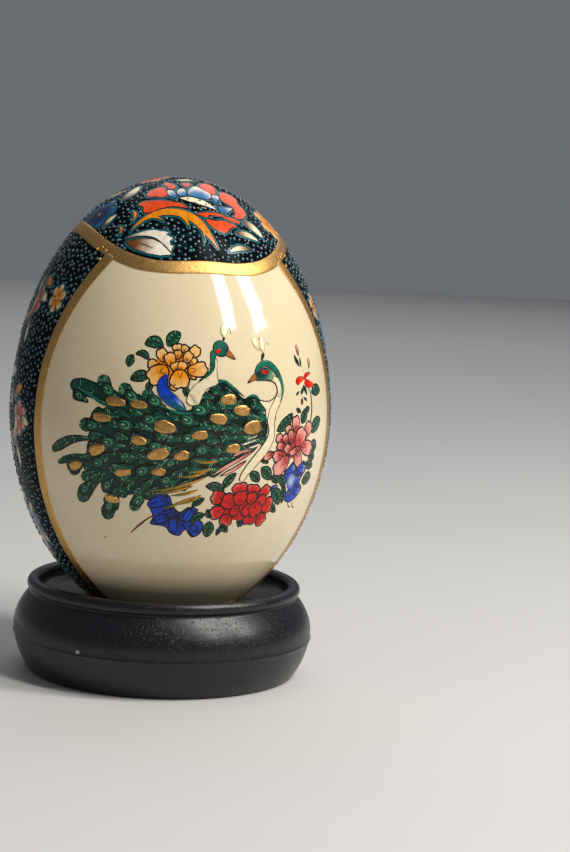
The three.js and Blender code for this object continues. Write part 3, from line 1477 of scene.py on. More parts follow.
    def _side_flowers(self, enamel: Enamel) -> None:
        """A yellow flower to the right, a blue one to the left and red ones near the tip.

        Args:
            enamel: The drawing to add to.
        """
        for centre, tints, size, first in (((15.2, -8), (Tint.ORANGE, Tint.ORANGE_PALE), 3.3, 250),
                                           ((-16, -5.4), (Tint.NAVY, Tint.SKY), 3.5, 200),
                                           ((-4.6, -0.2), (Tint.VERMILION, Tint.CORAL_PALE), 2.7, 90)):
            enamel.rosette(centre, first, (size * 0.52, size * 0.62), (size * 1.05, size * 0.85),
                           Paint(*tints, 3, 0.03, 0.15, self.halo))
            enamel.oval(centre, 1.1, 1, 0, Paint(Tint.BROWN, Tint.CREAM, 8, 0.05, 0.10))


# ---- the picture


@dataclass
class Flowers:
    """The picture's three peonies, its red sprig, its rocks and its leaves."""

    orange: tuple[Petal, ...] = (
        (-8.6, 53.6, 165, 1.9, 1.6), (-7.3, 55.1, 120, 2.1, 1.8), (-4.9, 56.3, 95, 1.3, 1.8),
        (-3.7, 56.2, 70, 1.3, 1.4), (-2.3, 55.6, 45, 2.4, 1.8), (-1.6, 53.1, 10, 2.9, 2.3),
        (-2.3, 54.3, 40, 1.5, 1.1), (-3.2, 54.9, 60, 1.9, 1.6), (-4.8, 55.3, 95, 1.4, 1.5),
        (-7.8, 52.2, 215, 3.2, 2.9), (-6, 54.5, 110, 2, 1.9), (-5.1, 53.4, 110, 1.5, 1.6),
        (-4.1, 53.5, 70, 1.6, 1.6), (-2.5, 51.9, -10, 1.5, 0.7), (-5.3, 50.4, 250, 1.2, 1.3),
        (-4.4, 51.6, 270, 2.6, 3),
    )
    red: tuple[Petal, ...] = (
        (3.1, 33, 170, 2.6, 2.3), (6.6, 34.4, 100, 1.8, 2.7), (9.2, 34.2, 80, 1.6, 2.5),
        (11.5, 33.6, 45, 2.5, 1.9), (12.8, 31.4, 0, 2.3, 2.7), (12.2, 29.1, 310, 2.1, 2.2),
        (3.1, 30.6, 200, 2.3, 2.2), (5, 29.3, 250, 1.8, 2.4), (9.8, 29.2, 270, 1.7, 2.9),
        (4.9, 32.3, 150, 2.5, 2.5), (6.3, 30.8, 240, 1.9, 1.8), (7, 32.8, 100, 2.2, 2.5),
        (9.2, 32.7, 90, 2, 2.1), (11.2, 32.2, 30, 2.1, 1.9), (8.7, 30.8, 250, 2, 1.9),
        (10.4, 30.9, 300, 2.3, 2.5),
    )
    pink: tuple[Petal, ...] = (
        (20.3, 43.2, 50, 2.8, 2.1), (20.4, 40.4, 340, 3.4, 2.4), (17, 44.4, 95, 2.4, 1.9),
        (15.2, 43.6, 110, 1.5, 1.6), (13.4, 42.2, 150, 1.7, 1.6), (11.3, 39.6, 200, 2, 1.4),
        (14.4, 37.9, 220, 3.4, 2.5), (18.2, 38.9, 300, 3, 2), (13.8, 41, 170, 1.9, 1.4),
        (13.3, 39.5, 200, 2, 1.9), (14.7, 42.1, 120, 1.7, 1.4), (15.9, 42.4, 100, 2.2, 1.5),
        (18.3, 42.1, 60, 3, 2.7), (15.5, 40.4, 150, 2, 1.6), (17.2, 40.1, 200, 2.6, 1.3),
    )
    leaves: tuple[Leaf, ...] = (
        (-6.6, 56.4, -4.3, 58.7, 2.2, 0.3), (-7.1, 56.4, -10.5, 56.6, 2, -0.6),
        (-9.3, 54.2, -11.9, 55.1, 1.2, -0.6), (-12, 55.1, -12.7, 52.9, 1.5, -0.2),
        (-8.9, 51.9, -12.4, 51.1, 1.9, -0.3), (-9, 51.2, -9.5, 49.3, 1.3, 0.1),
        (-3.9, 50.6, -3.3, 48.7, 1.2, 0.3), (0.4, 34.9, 4, 34.1, 1.6, 0.3),
        (3.3, 34.3, 5.7, 37.1, 1.5, 0.2), (0.7, 32.9, -1.6, 31.4, 1.3, -0.2),
        (1.2, 31.2, 1.9, 29.4, 1.4, 0.1), (1.1, 30.3, -1.7, 28.7, 1.5, -0.3),
        (2, 29.2, 1.9, 26.2, 2.2, 0), (3.8, 28.4, 5.9, 27, 1.3, 0.2),
        (4.6, 28.2, 3.6, 26.5, 1.1, -0.1), (7.4, 30.7, 7.9, 27.7, 1.2, 0),
        (7.9, 37, 10.2, 35.3, 1.7, 0.2), (10, 37.8, 12.5, 35.5, 2, 0.2),
        (12.2, 36.2, 14.4, 34.8, 1.3, 0.2), (14, 36.4, 16.2, 33.7, 1.6, 0.3),
        (12.9, 34.1, 15.9, 31.1, 2.1, 0.4), (15.6, 34.9, 16.5, 31.2, 1.4, 0.2),
        (13.4, 31.8, 15.6, 29.9, 1.3, -0.1), (21.4, 49.2, 25.2, 49.3, 1.7, 0.3),
        (21.6, 42.6, 25.2, 44.7, 2, 0.4), (21.4, 40.4, 24.2, 39.8, 1.9, 0.3),
        (21.2, 39.2, 24, 38.2, 1.6, 0.1), (20.9, 37.9, 24, 37, 1.4, -0.1),
        (20.8, 34.7, 24.3, 35.1, 1.9, 0.2), (12.5, 43.4, 16.2, 46.3, 2, -0.3),
        (18.4, 44.3, 19.6, 46.9, 1.9, -0.2), (18.4, 46.2, 16.9, 47, 0.9, 0.1),
        (19.4, 46, 21, 46.9, 1.2, 0.1), (9.6, 38.9, 11.6, 38.3, 1, 0.2),
    )

    def paint(self, enamel: Enamel) -> None:
        """Draws them all.

        Args:
            enamel: The drawing to add to.
        """
        green = Paint(Tint.LEAF, Tint.LEAF_DARK, 3, fade=(0.3, 1.25))
        self._rocks(enamel)
        for leaf in self.leaves:
            broad = 1.3 if leaf[0] > 20 else 1.08
            enamel.leaf((*leaf[:4], leaf[4] * broad, leaf[5]), green)
        for spot, length, width, degrees, tint in (
            ((-5, 53.6), 7, 4.6, 0, Tint.ORANGE), ((7.6, 31.6), 8.6, 5, 0, Tint.RED),
            ((16.6, 41.2), 6.8, 4.6, 20, Tint.ROSE),
        ):
            enamel.oval(spot, length, width, degrees, Paint(tint, tint, 4.6, 0, 0))
        self._peony(enamel, self.orange, Tint.ORANGE, Tint.ORANGE_PALE, Tint.BROWN)
        self._peony(enamel, self.pink, Tint.ROSE, Tint.ROSE_PALE, Tint.MAROON)
        self._peony(enamel, self.red, Tint.RED, Tint.RED_PALE, Tint.MAROON)
        self._sprig(enamel)

    @staticmethod
    def _peony(enamel: Enamel, petals: Sequence[Petal], core: Tint, rim: Tint,
               line: Tint) -> None:
        """Draws petals from the back of a flower to its front, with creases at their roots.

        Args:
            enamel: The drawing to add to.
            petals: The petals, the hindmost first.
            core: Their colour at the root.
            rim: Their colour at the tip.
            line: The colour of the creases.
        """
        for number, petal in enumerate(petals):
            layer = 5 + 0.7 * number
            x, y, degrees, length, width = petal
            length, width = length * 1.22, width * 1.28
            start, end = (0.85, 1.25) if core is Tint.RED else (0.35, 0.95)
            outer = 0.2 if number < len(petals) / 2 else 0
            paint = Paint(core, rim, layer, fade=(start - outer, end - outer / 2))
            enamel.petal((x, y, degrees, length, width), paint, 0.09)
            for spread in (-22, 18):
                ahead = heading(degrees + spread)[0] * length
                start = np.array([x, y]) - ahead * 0.38
                enamel.ink([start, start + ahead * 0.2, start + ahead * 0.36],
                           0.14, layer + 2, line)

    @staticmethod
    def _rocks(enamel: Enamel) -> None:
        """The pierced blue rocks at both sides of the foreground, over their jagged outlines.

        Args:
            enamel: The drawing to add to.
        """
        for outline in (
            [(-8.3, 33), (-8.7, 31.4), (-8.1, 29.7), (-8.5, 28.4), (-6, 28), (-4.9, 26.9),
             (-3.2, 26.5), (-2.2, 27.5), (-0.9, 26.3), (0.7, 27), (0.9, 28.8), (-0.5, 29.8),
             (-0.3, 31.1), (-2, 31.5), (-3.4, 30.7), (-4.6, 31.7), (-5.3, 33.3), (-7, 33.7)],
            [(15.2, 36.6), (16.3, 34.8), (17.2, 33.6), (16.5, 32.2), (18.6, 31.3), (20.7, 32.2),
             (21.5, 33.6), (20.3, 34.7), (21.1, 36), (21.6, 37.2), (20.3, 38.3), (19, 37.8),
             (17.2, 38.3), (16.3, 37.6)],
        ):
            enamel.blob(outline, Paint(Tint.NAVY, Tint.BLUE, 1.6, fade=(0, 0.7)))
        for x, y, length, width, degrees in (
            (-7.2, 32.1, 3.8, 2.4, 20), (-6.6, 29.3, 3, 2, 15), (-4.4, 28.3, 3.2, 1.9, 100),
            (-1.9, 30, 2.8, 2, 60), (-0.6, 27.9, 2.3, 1.5, 140), (16.9, 37, 3.2, 1.7, 20),
            (19.9, 37, 3.2, 2.1, -10), (19.4, 35, 2, 2.4, 90), (20.1, 33.2, 2.6, 1.9, 0),
            (17.3, 32.9, 2, 1.3, 20), (13.4, 34.2, 2.2, 1.1, 10), (8.3, 28.6, 1.4, 1.1, 80),
            (-5.6, 30.7, 2, 1.4, 60),
        ):
            rim = Tint.BLUE_PALE if x > 10 else Tint.NAVY
            enamel.petal((x, y, degrees, length, width),
                         Paint(Tint.BLUE, rim, 2.2 + 0.1 * y % 1, fade=(0.45, 1.1)), 0.2)
            ahead, aside = heading(degrees) * np.array([[length], [width]])
            for lean in (-0.24, 0.02, 0.26):
                start = np.array([x, y]) - ahead * 0.42 + aside * lean * 0.4
                enamel.ink([start, start + ahead * 0.3 + aside * lean,
                            start + ahead * 0.62 + aside * lean * 0.7], 0.13, 4.6, Tint.NAVY)
        enamel.blob([(16.2, 36), (16.9, 33.9), (18.7, 33.9), (18.8, 35.6), (17.6, 36.3)],
                    Paint(Tint.BLUE_PALE, Tint.BLUE, 2.8, 0, 0, fade=(0.1, 0.9)))
        for foot in ((-3.9, 30.4), (-3, 28.9), (-1.6, 27.6), (18.2, 31.6), (19.6, 31.4)):
            enamel.ink([foot, (foot[0] + 0.5, foot[1] - 0.8), (foot[0] + 1.4, foot[1] - 1.2)], 0.2)

    @staticmethod
    def _sprig(enamel: Enamel) -> None:
        """The small red flower, its buds and its stems at the right.

        Args:
            enamel: The drawing to add to.
        """
        stem = Paint(Tint.LEAF, Tint.LEAF_PALE, 2.5, 0, 0.08)
        enamel.stroke([(21.2, 44.4), (21.6, 46.6), (21.3, 49), (20.4, 50.4)],
                      [0.22, 0.24, 0.22, 0.14], stem)
        enamel.stroke([(20.6, 51.8), (21.1, 52.4), (21.4, 53.2)], [0.10, 0.12, 0.14], stem)
        enamel.stroke([(19.9, 52), (19.3, 53.1), (18.5, 54.2)], [0.12, 0.12, 0.14], stem)
        enamel.stroke([(18.5, 49.8), (18.7, 48.6), (18.5, 47.2)], [0.12, 0.12, 0.14], stem)
        red = Paint(Tint.RED, Tint.VERMILION, 4, 0.02, 0.08)
        for path, widths in (([(17.4, 50.6), (17.9, 51.3), (19.4, 51.6)], [0.75, 0.62, 0.35]),
                             ([(19.3, 51.4), (20.4, 52.1), (21.8, 52.3)], [0.42, 0.42, 0.15]),
                             ([(19.5, 50.9), (20.9, 50.6), (22.6, 50.3)], [0.80, 0.66, 0.35])):
            enamel.stroke(path, widths, red)
        bud = Paint(Tint.BUD, Tint.ROSE_PALE, 4, 0.02, 0.10)
        enamel.petal((18.4, 56, 100, 1.9, 0.95), bud)
        enamel.petal((21.5, 53.9, 80, 1.8, 0.95), bud)
        enamel.petal((18.6, 47.9, 270, 1.1, 0.9), Paint(Tint.MAROON, Tint.BUD, 4, 0.02, 0.10))
        green = Paint(Tint.LEAF_DARK, Tint.LEAF, 3.5, 0, 0.10)
        for leaf in ((18.6, 53.4, 17.2, 55.5, 0.9, 0.1), (18.9, 53.3, 18.8, 55.1, 0.6, 0),
                     (19.2, 50.3, 18.2, 49, 0.8, 0.1), (19, 50.6, 20.2, 48.7, 0.8, 0.1),
                     (18, 49.6, 16.9, 48.9, 0.6, 0), (19, 48.6, 20.2, 47.9, 0.6, 0)):
            enamel.leaf(leaf, green, 1)


@dataclass
class Peafowl:
    """The two peafowl, their shared dark back and the trailing tail of one."""

    back: tuple[Point, ...] = (
        (2, 51.7), (0.3, 50.1), (-0.8, 49), (-1, 47.6), (-3.5, 46.8), (-6, 47),
        (-8.5, 48.2), (-11, 48.4), (-13.5, 47.6), (-16, 46.6), (-18.5, 45.2), (-18.8, 43),
        (-18.2, 41), (-19.6, 38.6), (-19.5, 36.3), (-18.3, 34.9), (-16, 34.3), (-14, 32.8),
        (-12, 33), (-9.5, 33.4), (-7, 33.7), (-4, 34.5), (-1, 35.5), (1.4, 36.8),
        (3.4, 38.1), (5.6, 39.2), (7.8, 40.4), (9.6, 41.8), (10.7, 43.2), (10.6, 44.6),
        (9.8, 45.9), (9.9, 47.2), (9.2, 48.4), (7.6, 49.2), (6.2, 48.8), (4.9, 49.9), (3.4, 51.2),
    )
    feathers: tuple[Leaf, ...] = (
        (-12, 46, -22.9, 49.8, 3, -0.9), (-14.4, 47.4, -17.3, 51.5, 2.6, 0.1),
        (-10.4, 46.8, -13.7, 50.4, 2.5, 0.1), (-7, 46.6, -9.9, 49.7, 2.2, 0.2),
        (-15, 44.6, -20.6, 43.5, 2.4, 0.2), (-16.6, 41.6, -26.4, 38.9, 1.9, -0.9),
        (-17, 38.9, -25.2, 37, 1.3, -0.5), (-17.6, 39.2, -22.6, 35.5, 2.6, -0.6),
        (-15.6, 36.4, -21.5, 31.2, 2.7, -0.3), (-13.4, 34.2, -16.8, 28.7, 2.7, 0),
        (-9.4, 34.6, -11.6, 30.5, 2.1, 0.1), (-16.8, 36.6, -20.4, 35, 2, 0),
    )
    eyes: tuple[Point, ...] = (
        (-21, 48.1), (-15.9, 49.4), (-11.9, 48.6), (-8.2, 48.1), (-18.3, 43.6), (-20, 33.2),
        (-15.7, 30.8), (-10.4, 32.2), (-21.2, 36.9), (-12.7, 44.1), (-8.9, 45.2), (-3, 45.3),
        (-1.1, 46.9), (-0.6, 40.6), (-7.8, 41), (-15.8, 34.2), (-12.7, 39.2), (-2.6, 42.5),
        (-5.4, 38.4), (-9.8, 37), (-15.4, 41.2), (-6, 35.7), (-17.2, 37.8), (-12.8, 35.7),
    )
    dabs: tuple[Petal, ...] = (
        (3.5, 48.6, 5, 2.8, 2), (5.8, 46.9, -5, 3, 2), (1.9, 45.6, -10, 3, 2),
        (7.8, 44.2, 10, 3.4, 2.6), (-1, 43, 5, 2.8, 1.7), (4.6, 40.9, 5, 2.6, 1.8),
        (-6.4, 44.1, 170, 3.6, 2.4), (-3.7, 39.7, 10, 2.6, 1.8), (-7.4, 39.8, 15, 3.6, 2.2),
        (-7.2, 37, 0, 2.4, 1.5), (-10.4, 41.8, 170, 2.6, 1.7), (-10.6, 47.4, 170, 2.9, 1.6),
        (-14.4, 47.6, 175, 3.4, 1.8), (-16.6, 45, 175, 3.3, 1.7), (-17.3, 39.9, 200, 3, 2.1),
        (-12.9, 36.6, 190, 2.8, 1.5), (-21.4, 37, 200, 2.6, 1.8), (-15, 32.1, 170, 2.7, 1.6),
    )

    def paint(self, enamel: Enamel) -> None:
        """Draws both birds and the tail, from the back to the front.

        Args:
            enamel: The drawing to add to.
        """
        self._tail(enamel)
        self._left_bird(enamel)
        self._right_bird(enamel)
        self._coverts(enamel)

    @staticmethod
    def _sweep(spot: Array) -> float:
        """Where a feather points, in degrees: left, turned up or down with its height."""
        return 180 - (5.5 if spot[0] < -2 else 3.2) * (spot[1] - 42.5)

    def _tail(self, enamel: Enamel) -> None:
        """The mass of feathers over a dark bed, laid like scales from the tips to the body.

        Args:
            enamel: The drawing to add to.
        """
        random = enamel.random
        for feather in self.feathers:
            self._feather(enamel, feather, Paint(Tint.LEAF_DARK, Tint.TEAL_DARK, 1.6), 20)
        enamel.blob(self.back, Paint(Tint.LEAF_DARK, Tint.TEAL_DARK, 2.6), (6.5, 47.5))
        x, y = np.meshgrid(np.arange(-18.5, 10, 2.1), np.arange(33.6, 51, 1.75))
        x[1::2] += 1.05
        fill = np.stack([x.ravel(), y.ravel()], -1) + random.uniform(-0.35, 0.35, (x.size, 2))
        fill = fill[inside(spline(self.back, 90, True), fill)]
        marks = np.array(self.eyes + tuple(dab[:2] for dab in self.dabs))
        near = lengths(fill[:, None] - marks).min(1)
        scales = [(spot, 0) for spot in fill[near > 1.3]]
        scales += [(np.array(eye), 1) for eye in self.eyes]
        scales += [(np.array(dab[:2]), 2) for dab in self.dabs]
        scales.sort(key=lambda scale: scale[0][0])
        for number, (spot, kind) in enumerate(scales):
            layer = 4 + 12 * number / len(scales)
            sweep = self._sweep(spot) + random.uniform(-7, 7)
            ahead = heading(sweep)[0]
            tip = spot + ahead * (1.5, 1.3, 1.9)[kind]
            root = spot - ahead * (1.9, 2.2, 2.4)[kind]
            vane = (*root, *tip, (1.9, 2.1, 3.2)[kind], random.uniform(-0.25, 0.25))
            self._feather(enamel, vane, Paint(Tint.TEAL_DARK, Tint.LEAF_DARK, layer), 7)
            if kind == 1:
                self._eye(enamel, spot, sweep, layer + 2)
        for path in ([(0.9, 50.3), (2.6, 51.5), (4.6, 50.2), (6.4, 48.9)],
                     [(6.6, 48.9), (8, 49.2), (9.4, 48.2)], [(9.6, 47.9), (9.5, 46.2), (10.2, 44.9)],
                     [(-7, 47.4), (-5.2, 46.6), (-3.2, 46.3), (-1, 46.9)],
                     [(-22.4, 49.5), (-19.5, 48.6), (-16.6, 47.2), (-13.2, 46.2)]):
            enamel.stroke(path, [0.05, 0.22, 0.28, 0.05],
                          Paint(Tint.TEAL, Tint.TEAL_DARK, 16, 0, 0))

    @staticmethod
    def _feather(enamel: Enamel, feather: Leaf, paint: Paint, count: int) -> None:
        """One round-ended feather with a shaft and short hairs slanting off both sides of it.

        Args:
            enamel: The drawing to add to.
            feather: Its root, tip, width and bow.
            paint: How it is laid on.
            count: Hairs on each side.
        """
        x0, y0, x1, y1, width, bow = feather
        root, tip = np.array([x0, y0]), np.array([x1, y1])
        ahead = (tip - root) / lengths(tip - root)
        aside = left_of(ahead)
        path = [root, (root + tip) / 2 + aside * bow, tip]
        share = np.array([0.24, 0.42, 0.64, 0.90, 1, 0.55])
        enamel.stroke(path, list(share * width / 2), paint)
        line = spline(path, count + 3)[1:-2]
        size = np.interp(np.linspace(0, 1, len(line)), np.linspace(0, 1, 6), share) * width
        enamel.stroke(line, [0.05, 0.05, 0.03], line_paint(Tint.LEAF, Tint.TEAL, paint.layer + 1.2))
        for at, reach in zip(line, size):
            for side in (-1, 1):
                tint = (Tint.LEAF_PALE, Tint.LEAF, Tint.TEAL, Tint.LEAF)[enamel.random.integers(4)]
                end = at + aside * side * reach * 0.42 + ahead * 0.45
                enamel.ink([at + aside * side * 0.08, (at + end) / 2 + ahead * 0.1, end], 0.13,
                           paint.layer + 1.2, tint)

    @staticmethod
    def _eye(enamel: Enamel, spot: Array, degrees: float, layer: float) -> None:
        """One feather eye: nested ovals from a pale ring to a pale pupil near its tip.

        Args:
            enamel: The drawing to add to.
            spot: Its middle.
            degrees: Where its feather points.
            layer: Its place in the stack of coats.
        """
        size = enamel.random.uniform(0.78, 1.1)
        ahead = heading(degrees)[0] * 0.1 * size
        for length, width, core, rim, ink in ((2.6, 1.8, Tint.LEAF, Tint.LEAF_DARK, 0.12),
                                              (2, 1.3, Tint.EYE_RING, Tint.LEAF, 0.08),
                                              (1.5, 0.9, Tint.TEAL_DARK, Tint.INK, 0),
                                              (0.8, 0.5, Tint.LEAF_PALE, Tint.EYE_RING, 0)):
            enamel.oval(tuple(spot), length * size, width * size, degrees,
                        Paint(core, rim, layer, 0, ink))
            layer += 0.8
            spot = spot + ahead

    @staticmethod
    def _left_bird(enamel: Enamel) -> None:
        """The farther bird: pale breast, teal neck, head, crest stalk and blue wing.

        Args:
            enamel: The drawing to add to.
        """
        enamel.blob([(1.7, 54.7), (1, 55), (0.5, 54.4), (0.6, 53.4), (0.2, 52.6), (-0.9, 51.6),
                     (-2.2, 50.6), (-3, 49.4), (-3.3, 48.2), (-2.6, 47.5), (-1.2, 47.7),
                     (-0.8, 48.8), (-0.1, 49.9), (0.9, 50.5), (1.9, 50.9), (1.85, 51.8),
                     (1.65, 53.1)], Paint(Tint.IVORY, Tint.CREAM, 14, 0, 0.12), (0.5, 51))
        enamel.stroke([(-1.4, 51.3), (0, 52.3), (0.9, 53.4), (0.95, 54.8), (1.1, 56.2)],
                      [0.12, 0.34, 0.42, 0.50, 0.66],
                      Paint(Tint.LEAF, Tint.TEAL, 15, 0, 0.11))
        enamel.oval((2.35, 56.4), 2.9, 2.6, -20, Paint(Tint.TEAL, Tint.TEAL_DARK, 16, 0, 0.12))
        enamel.blob([(4.9, 54.7), (3.9, 56.2), (3.25, 55.9), (3.2, 55.3)],
                    Paint(Tint.BEAK, Tint.BROWN, 17, 0, 0.10), (3.3, 55.6))
        enamel.oval((1.85, 56), 1.2, 0.85, 25, Paint(Tint.RED, Tint.ROSE, 18, 0, 0.08))
        enamel.oval((2.8, 56.6), 0.42, 0.38, 0, Paint(Tint.INK, Tint.INK, 18, 0, 0))
        enamel.stroke([(2.8, 57.4), (2.9, 57.9), (3, 58.3)], [0.16, 0.24, 0.34],
                      Paint(Tint.TEAL_DARK, Tint.INK, 15, 0, 0))
        enamel.stroke([(-6.4, 52.3), (-7, 50.9), (-6.8, 49.6), (-5.7, 48.4), (-4.2, 47.4),
                       (-3.1, 46.6)], [0.35, 0.92, 1.02, 1.02, 0.80, 0.08],
                      Paint(Tint.BLUE, Tint.TEAL, 18, 0, 0.12, 0, (0.3, 1)))
        enamel.stroke([(-6.2, 49.5), (-5.3, 48.7), (-4.3, 47.9), (-3.6, 47.2)],
                      [0.12, 0.44, 0.34, 0.05], Paint(Tint.BLUE, Tint.BLUE_PALE, 20, 0, 0))
        for start, end in (((-7, 51.6), (-6.4, 49.9)), ((-6.5, 51.9), (-6, 50.2)),
                           ((-5.7, 49.6), (-4.3, 48.7)), ((-6.9, 49.2), (-5.6, 47.9))):
            enamel.ink([start, ((start[0] + end[0]) / 2 - 0.1, (start[1] + end[1]) / 2), end],
                       0.14, 21, Tint.NAVY)
        for number in range(5):
            y = 49.4 - 0.35 * number
            enamel.ink([(-2.9 + 0.2 * number, y), (-2.4 + 0.2 * number, y - 0.3),
                        (-1.9 + 0.2 * number, y - 0.2)], 0.1, 17, Tint.LEAF)

    @staticmethod
    def _right_bird(enamel: Enamel) -> None:
        """The nearer bird: long pale neck with a teal nape, face and crest stalk.

        Args:
            enamel: The drawing to add to.
        """
        pale = Paint(Tint.IVORY, Tint.CREAM, 17, 0, 0.13)
        enamel.blob([(8.8, 48.5), (9.3, 47.7), (10, 47), (10.1, 46.2), (10.7, 45),
                     (12.2, 45.2), (12.4, 46.6), (13.2, 47.9), (12.9, 49.2), (12, 48.8),
                     (10.5, 48.3)], pale, (11.4, 47))
        enamel.stroke([(10.9, 51.9), (12.3, 51.6), (13.15, 50.6), (13.2, 49.4), (12.6, 48.2),
                       (11.7, 46.8), (11.3, 45.2), (11.5, 43.8), (11.3, 42.3), (10.4, 40.8),
                       (9.2, 39.4), (8, 38), (7, 36.7), (6.5, 35.5)],
                      [0.40, 0.62, 0.78, 0.72, 0.80, 0.85, 0.85, 0.66, 0.80, 0.90, 0.88, 0.85,
                       0.66, 0.55], Paint(Tint.IVORY, Tint.CREAM, 18, 0, 0.13))
        enamel.ink([(8.6, 48.6), (10.4, 48.25), (11.7, 48.6), (12.5, 49.5), (12.5, 50.5),
                    (11.9, 51.2), (10.4, 51.5), (8.4, 51.5)], 0.16, 21)
        enamel.stroke([(8.3, 52.6), (9, 53.6), (10.1, 54.15), (11.4, 53.9), (12.6, 52.9),
                       (13.4, 51.6), (13.8, 50.2), (13.6, 49), (12.9, 47.8)],
                      [0.22, 0.42, 0.52, 0.60, 0.56, 0.46, 0.36, 0.26, 0.06],
                      Paint(Tint.TEAL, Tint.LEAF_PALE, 20, 0, 0.10, 0, (0.5, 1.2)))
        for number in range(13):
            turn = 1.1 - number * 0.155
            spot = np.array([10.9 + 2.75 * math.cos(turn), 50.9 + 2.7 * math.sin(turn)])
            enamel.ink([spot + (-0.35, 0.1), spot + (0, -0.16), spot + (0.35, 0.05)], 0.09, 22,
                       Tint.LEAF)
        enamel.blob([(8.2, 51.6), (11.2, 51.5), (12, 51.9), (11.6, 53), (10.2, 53.6),
                     (8.8, 53.1)], Paint(Tint.TEAL_DARK, Tint.LEAF_PALE, 21, 0, 0.10), (9.4, 52.9))
        enamel.oval((10.2, 52.8), 1.6, 0.86, -5, Paint(Tint.RED, Tint.MAROON, 23, 0, 0.06))
        enamel.oval((9, 52.8), 0.5, 0.42, 0, Paint(Tint.INK, Tint.INK, 23, 0, 0))
        enamel.blob([(6.8, 51.15), (8.5, 51.6), (8.6, 52.1), (8.2, 52.7)],
                    Paint(Tint.BEAK, Tint.BROWN, 23, 0, 0.10), (8.1, 52.2))
        enamel.stroke([(9.7, 54.5), (9.95, 55.1), (10.3, 55.8)], [0.14, 0.30, 0.42],
                      Paint(Tint.TEAL_DARK, Tint.INK, 19, 0, 0))
        for spot, lean in (((9.6, 58), 60), ((11.25, 57.2), 100), ((9.45, 56.35), 70),
                           ((4.2, 58.9), 80), ((3.5, 59.85), 20), ((4.05, 59.4), 50)):
            enamel.oval(spot, 0.62, 0.26, lean, Paint(Tint.OLIVE, Tint.BROWN, 2, 0, 0))

    @staticmethod
    def _coverts(enamel: Enamel) -> None:
        """Pink and white tail coverts, yellow trailing plumes and the long dark quills.

        Args:
            enamel: The drawing to add to.
        """
        rose = Paint(Tint.ROSE_PALE, Tint.ROSE, 16, 0, 0.12)
        pale = Paint(Tint.WHITE, Tint.CREAM, 16, 0, 0.11)
        for path, width, paint in (
            ([(0.9, 36.3), (3.6, 38), (6.2, 39.4), (8.6, 40.7)], 0.40, rose),
            ([(2.7, 36.5), (5, 37.6), (7.2, 39)], 0.36, rose),
            ([(4.3, 39.5), (6.2, 40.4), (8.2, 40.7)], 0.36, rose),
            ([(5.7, 41.4), (7.5, 41.9), (9.3, 42.5)], 0.30, pale),
            ([(7, 40.9), (8.4, 41.2), (9.6, 41.7)], 0.28, pale),
            ([(6.4, 42.3), (7.8, 42.6), (9, 43)], 0.24, pale),
        ):
            enamel.stroke(path, [0.08, width, width, width, 0.12], paint)
        plume = Paint(Tint.OLIVE, Tint.ORANGE, 15, 0, 0.05)
        for path in ([(-2, 39.2), (-0.2, 38.7), (2.4, 38.9)], [(-2.6, 37.2), (-0.6, 37.2), (1.6, 37.8)],
                     [(-9.2, 33.9), (-6, 34.2), (-2.4, 35.2), (0.9, 36.6)],
                     [(-8.6, 33.3), (-5, 33.9), (-1.4, 34.9)], [(-3.6, 31.8), (-1.4, 32.6), (0, 33.5)],
                     [(-6.6, 30.8), (-3.8, 32), (-1, 33.2)], [(-5.2, 33.2), (-2.8, 33.6), (-0.6, 34.3)],
                     [(-4.4, 36.4), (-2, 36.4), (0.6, 37.2)]):
            enamel.stroke(path, [0.06, 0.24, 0.28, 0.08], plume)
        enamel.stroke([(-12.1, 26.7), (-10.3, 28.2), (-8.2, 29.7), (-4.4, 31.4)],
                      [0.10, 0.20, 0.14, 0.08], Paint(Tint.BROWN, Tint.INK, 15, 0, 0))

    @staticmethod
    def corners(form: EggForm) -> Enamel:
        """Groups of small gilt beads where the side borders meet the crown's border.

        Args:
            form: The egg.

        Returns:
            The drawing.
        """
        beads = Enamel(CrownChart(form, 0), 71)
        for x, y in ((18.9, 14.2), (17.9, 14.9), (19.2, 16.7), (17.6, 16.1)):
            for spot in ((x, y), (-x, y), (x, -y), (-x, -y)):
                beads.oval(spot, 0.62, 0.58, 0, Paint(Tint.ORANGE, Tint.ORANGE, 28, 0.20, 0))
        return beads

    def gild(self, chart: PanelChart, seed: int) -> Enamel:
        """The thick gilt dabs on the feathers.

        Args:
            chart: The panel's chart.
            seed: Fixes their small differences.

        Returns:
            The drawing.
        """
        dabs = Enamel(chart, seed)
        for dab in self.dabs:
            x, y, degrees, length, width = dab
            dabs.petal((x, y, degrees, length * 0.97, width * 0.97),
                       Paint(Tint.ORANGE, Tint.ORANGE, 18, 0.10, 0), 0.07)
        return dabs

    @staticmethod
    def crests(chart: PanelChart, seed: int) -> Enamel:
        """The raised cream-gold pads of both crests.

        Args:
            chart: The panel's chart.
            seed: Fixes their small differences.

        Returns:
            The drawing.
        """
        pads = Enamel(chart, seed)
        for pad in ((3, 59, 90, 1.9, 1.5), (8.7, 57.2, 110, 2, 1.1), (10.1, 57, 90, 2.5, 1.3)):
            pads.petal(pad, Paint(Tint.CREAM, Tint.CREAM, 6, 0.14, 0), 0.05)
        return pads


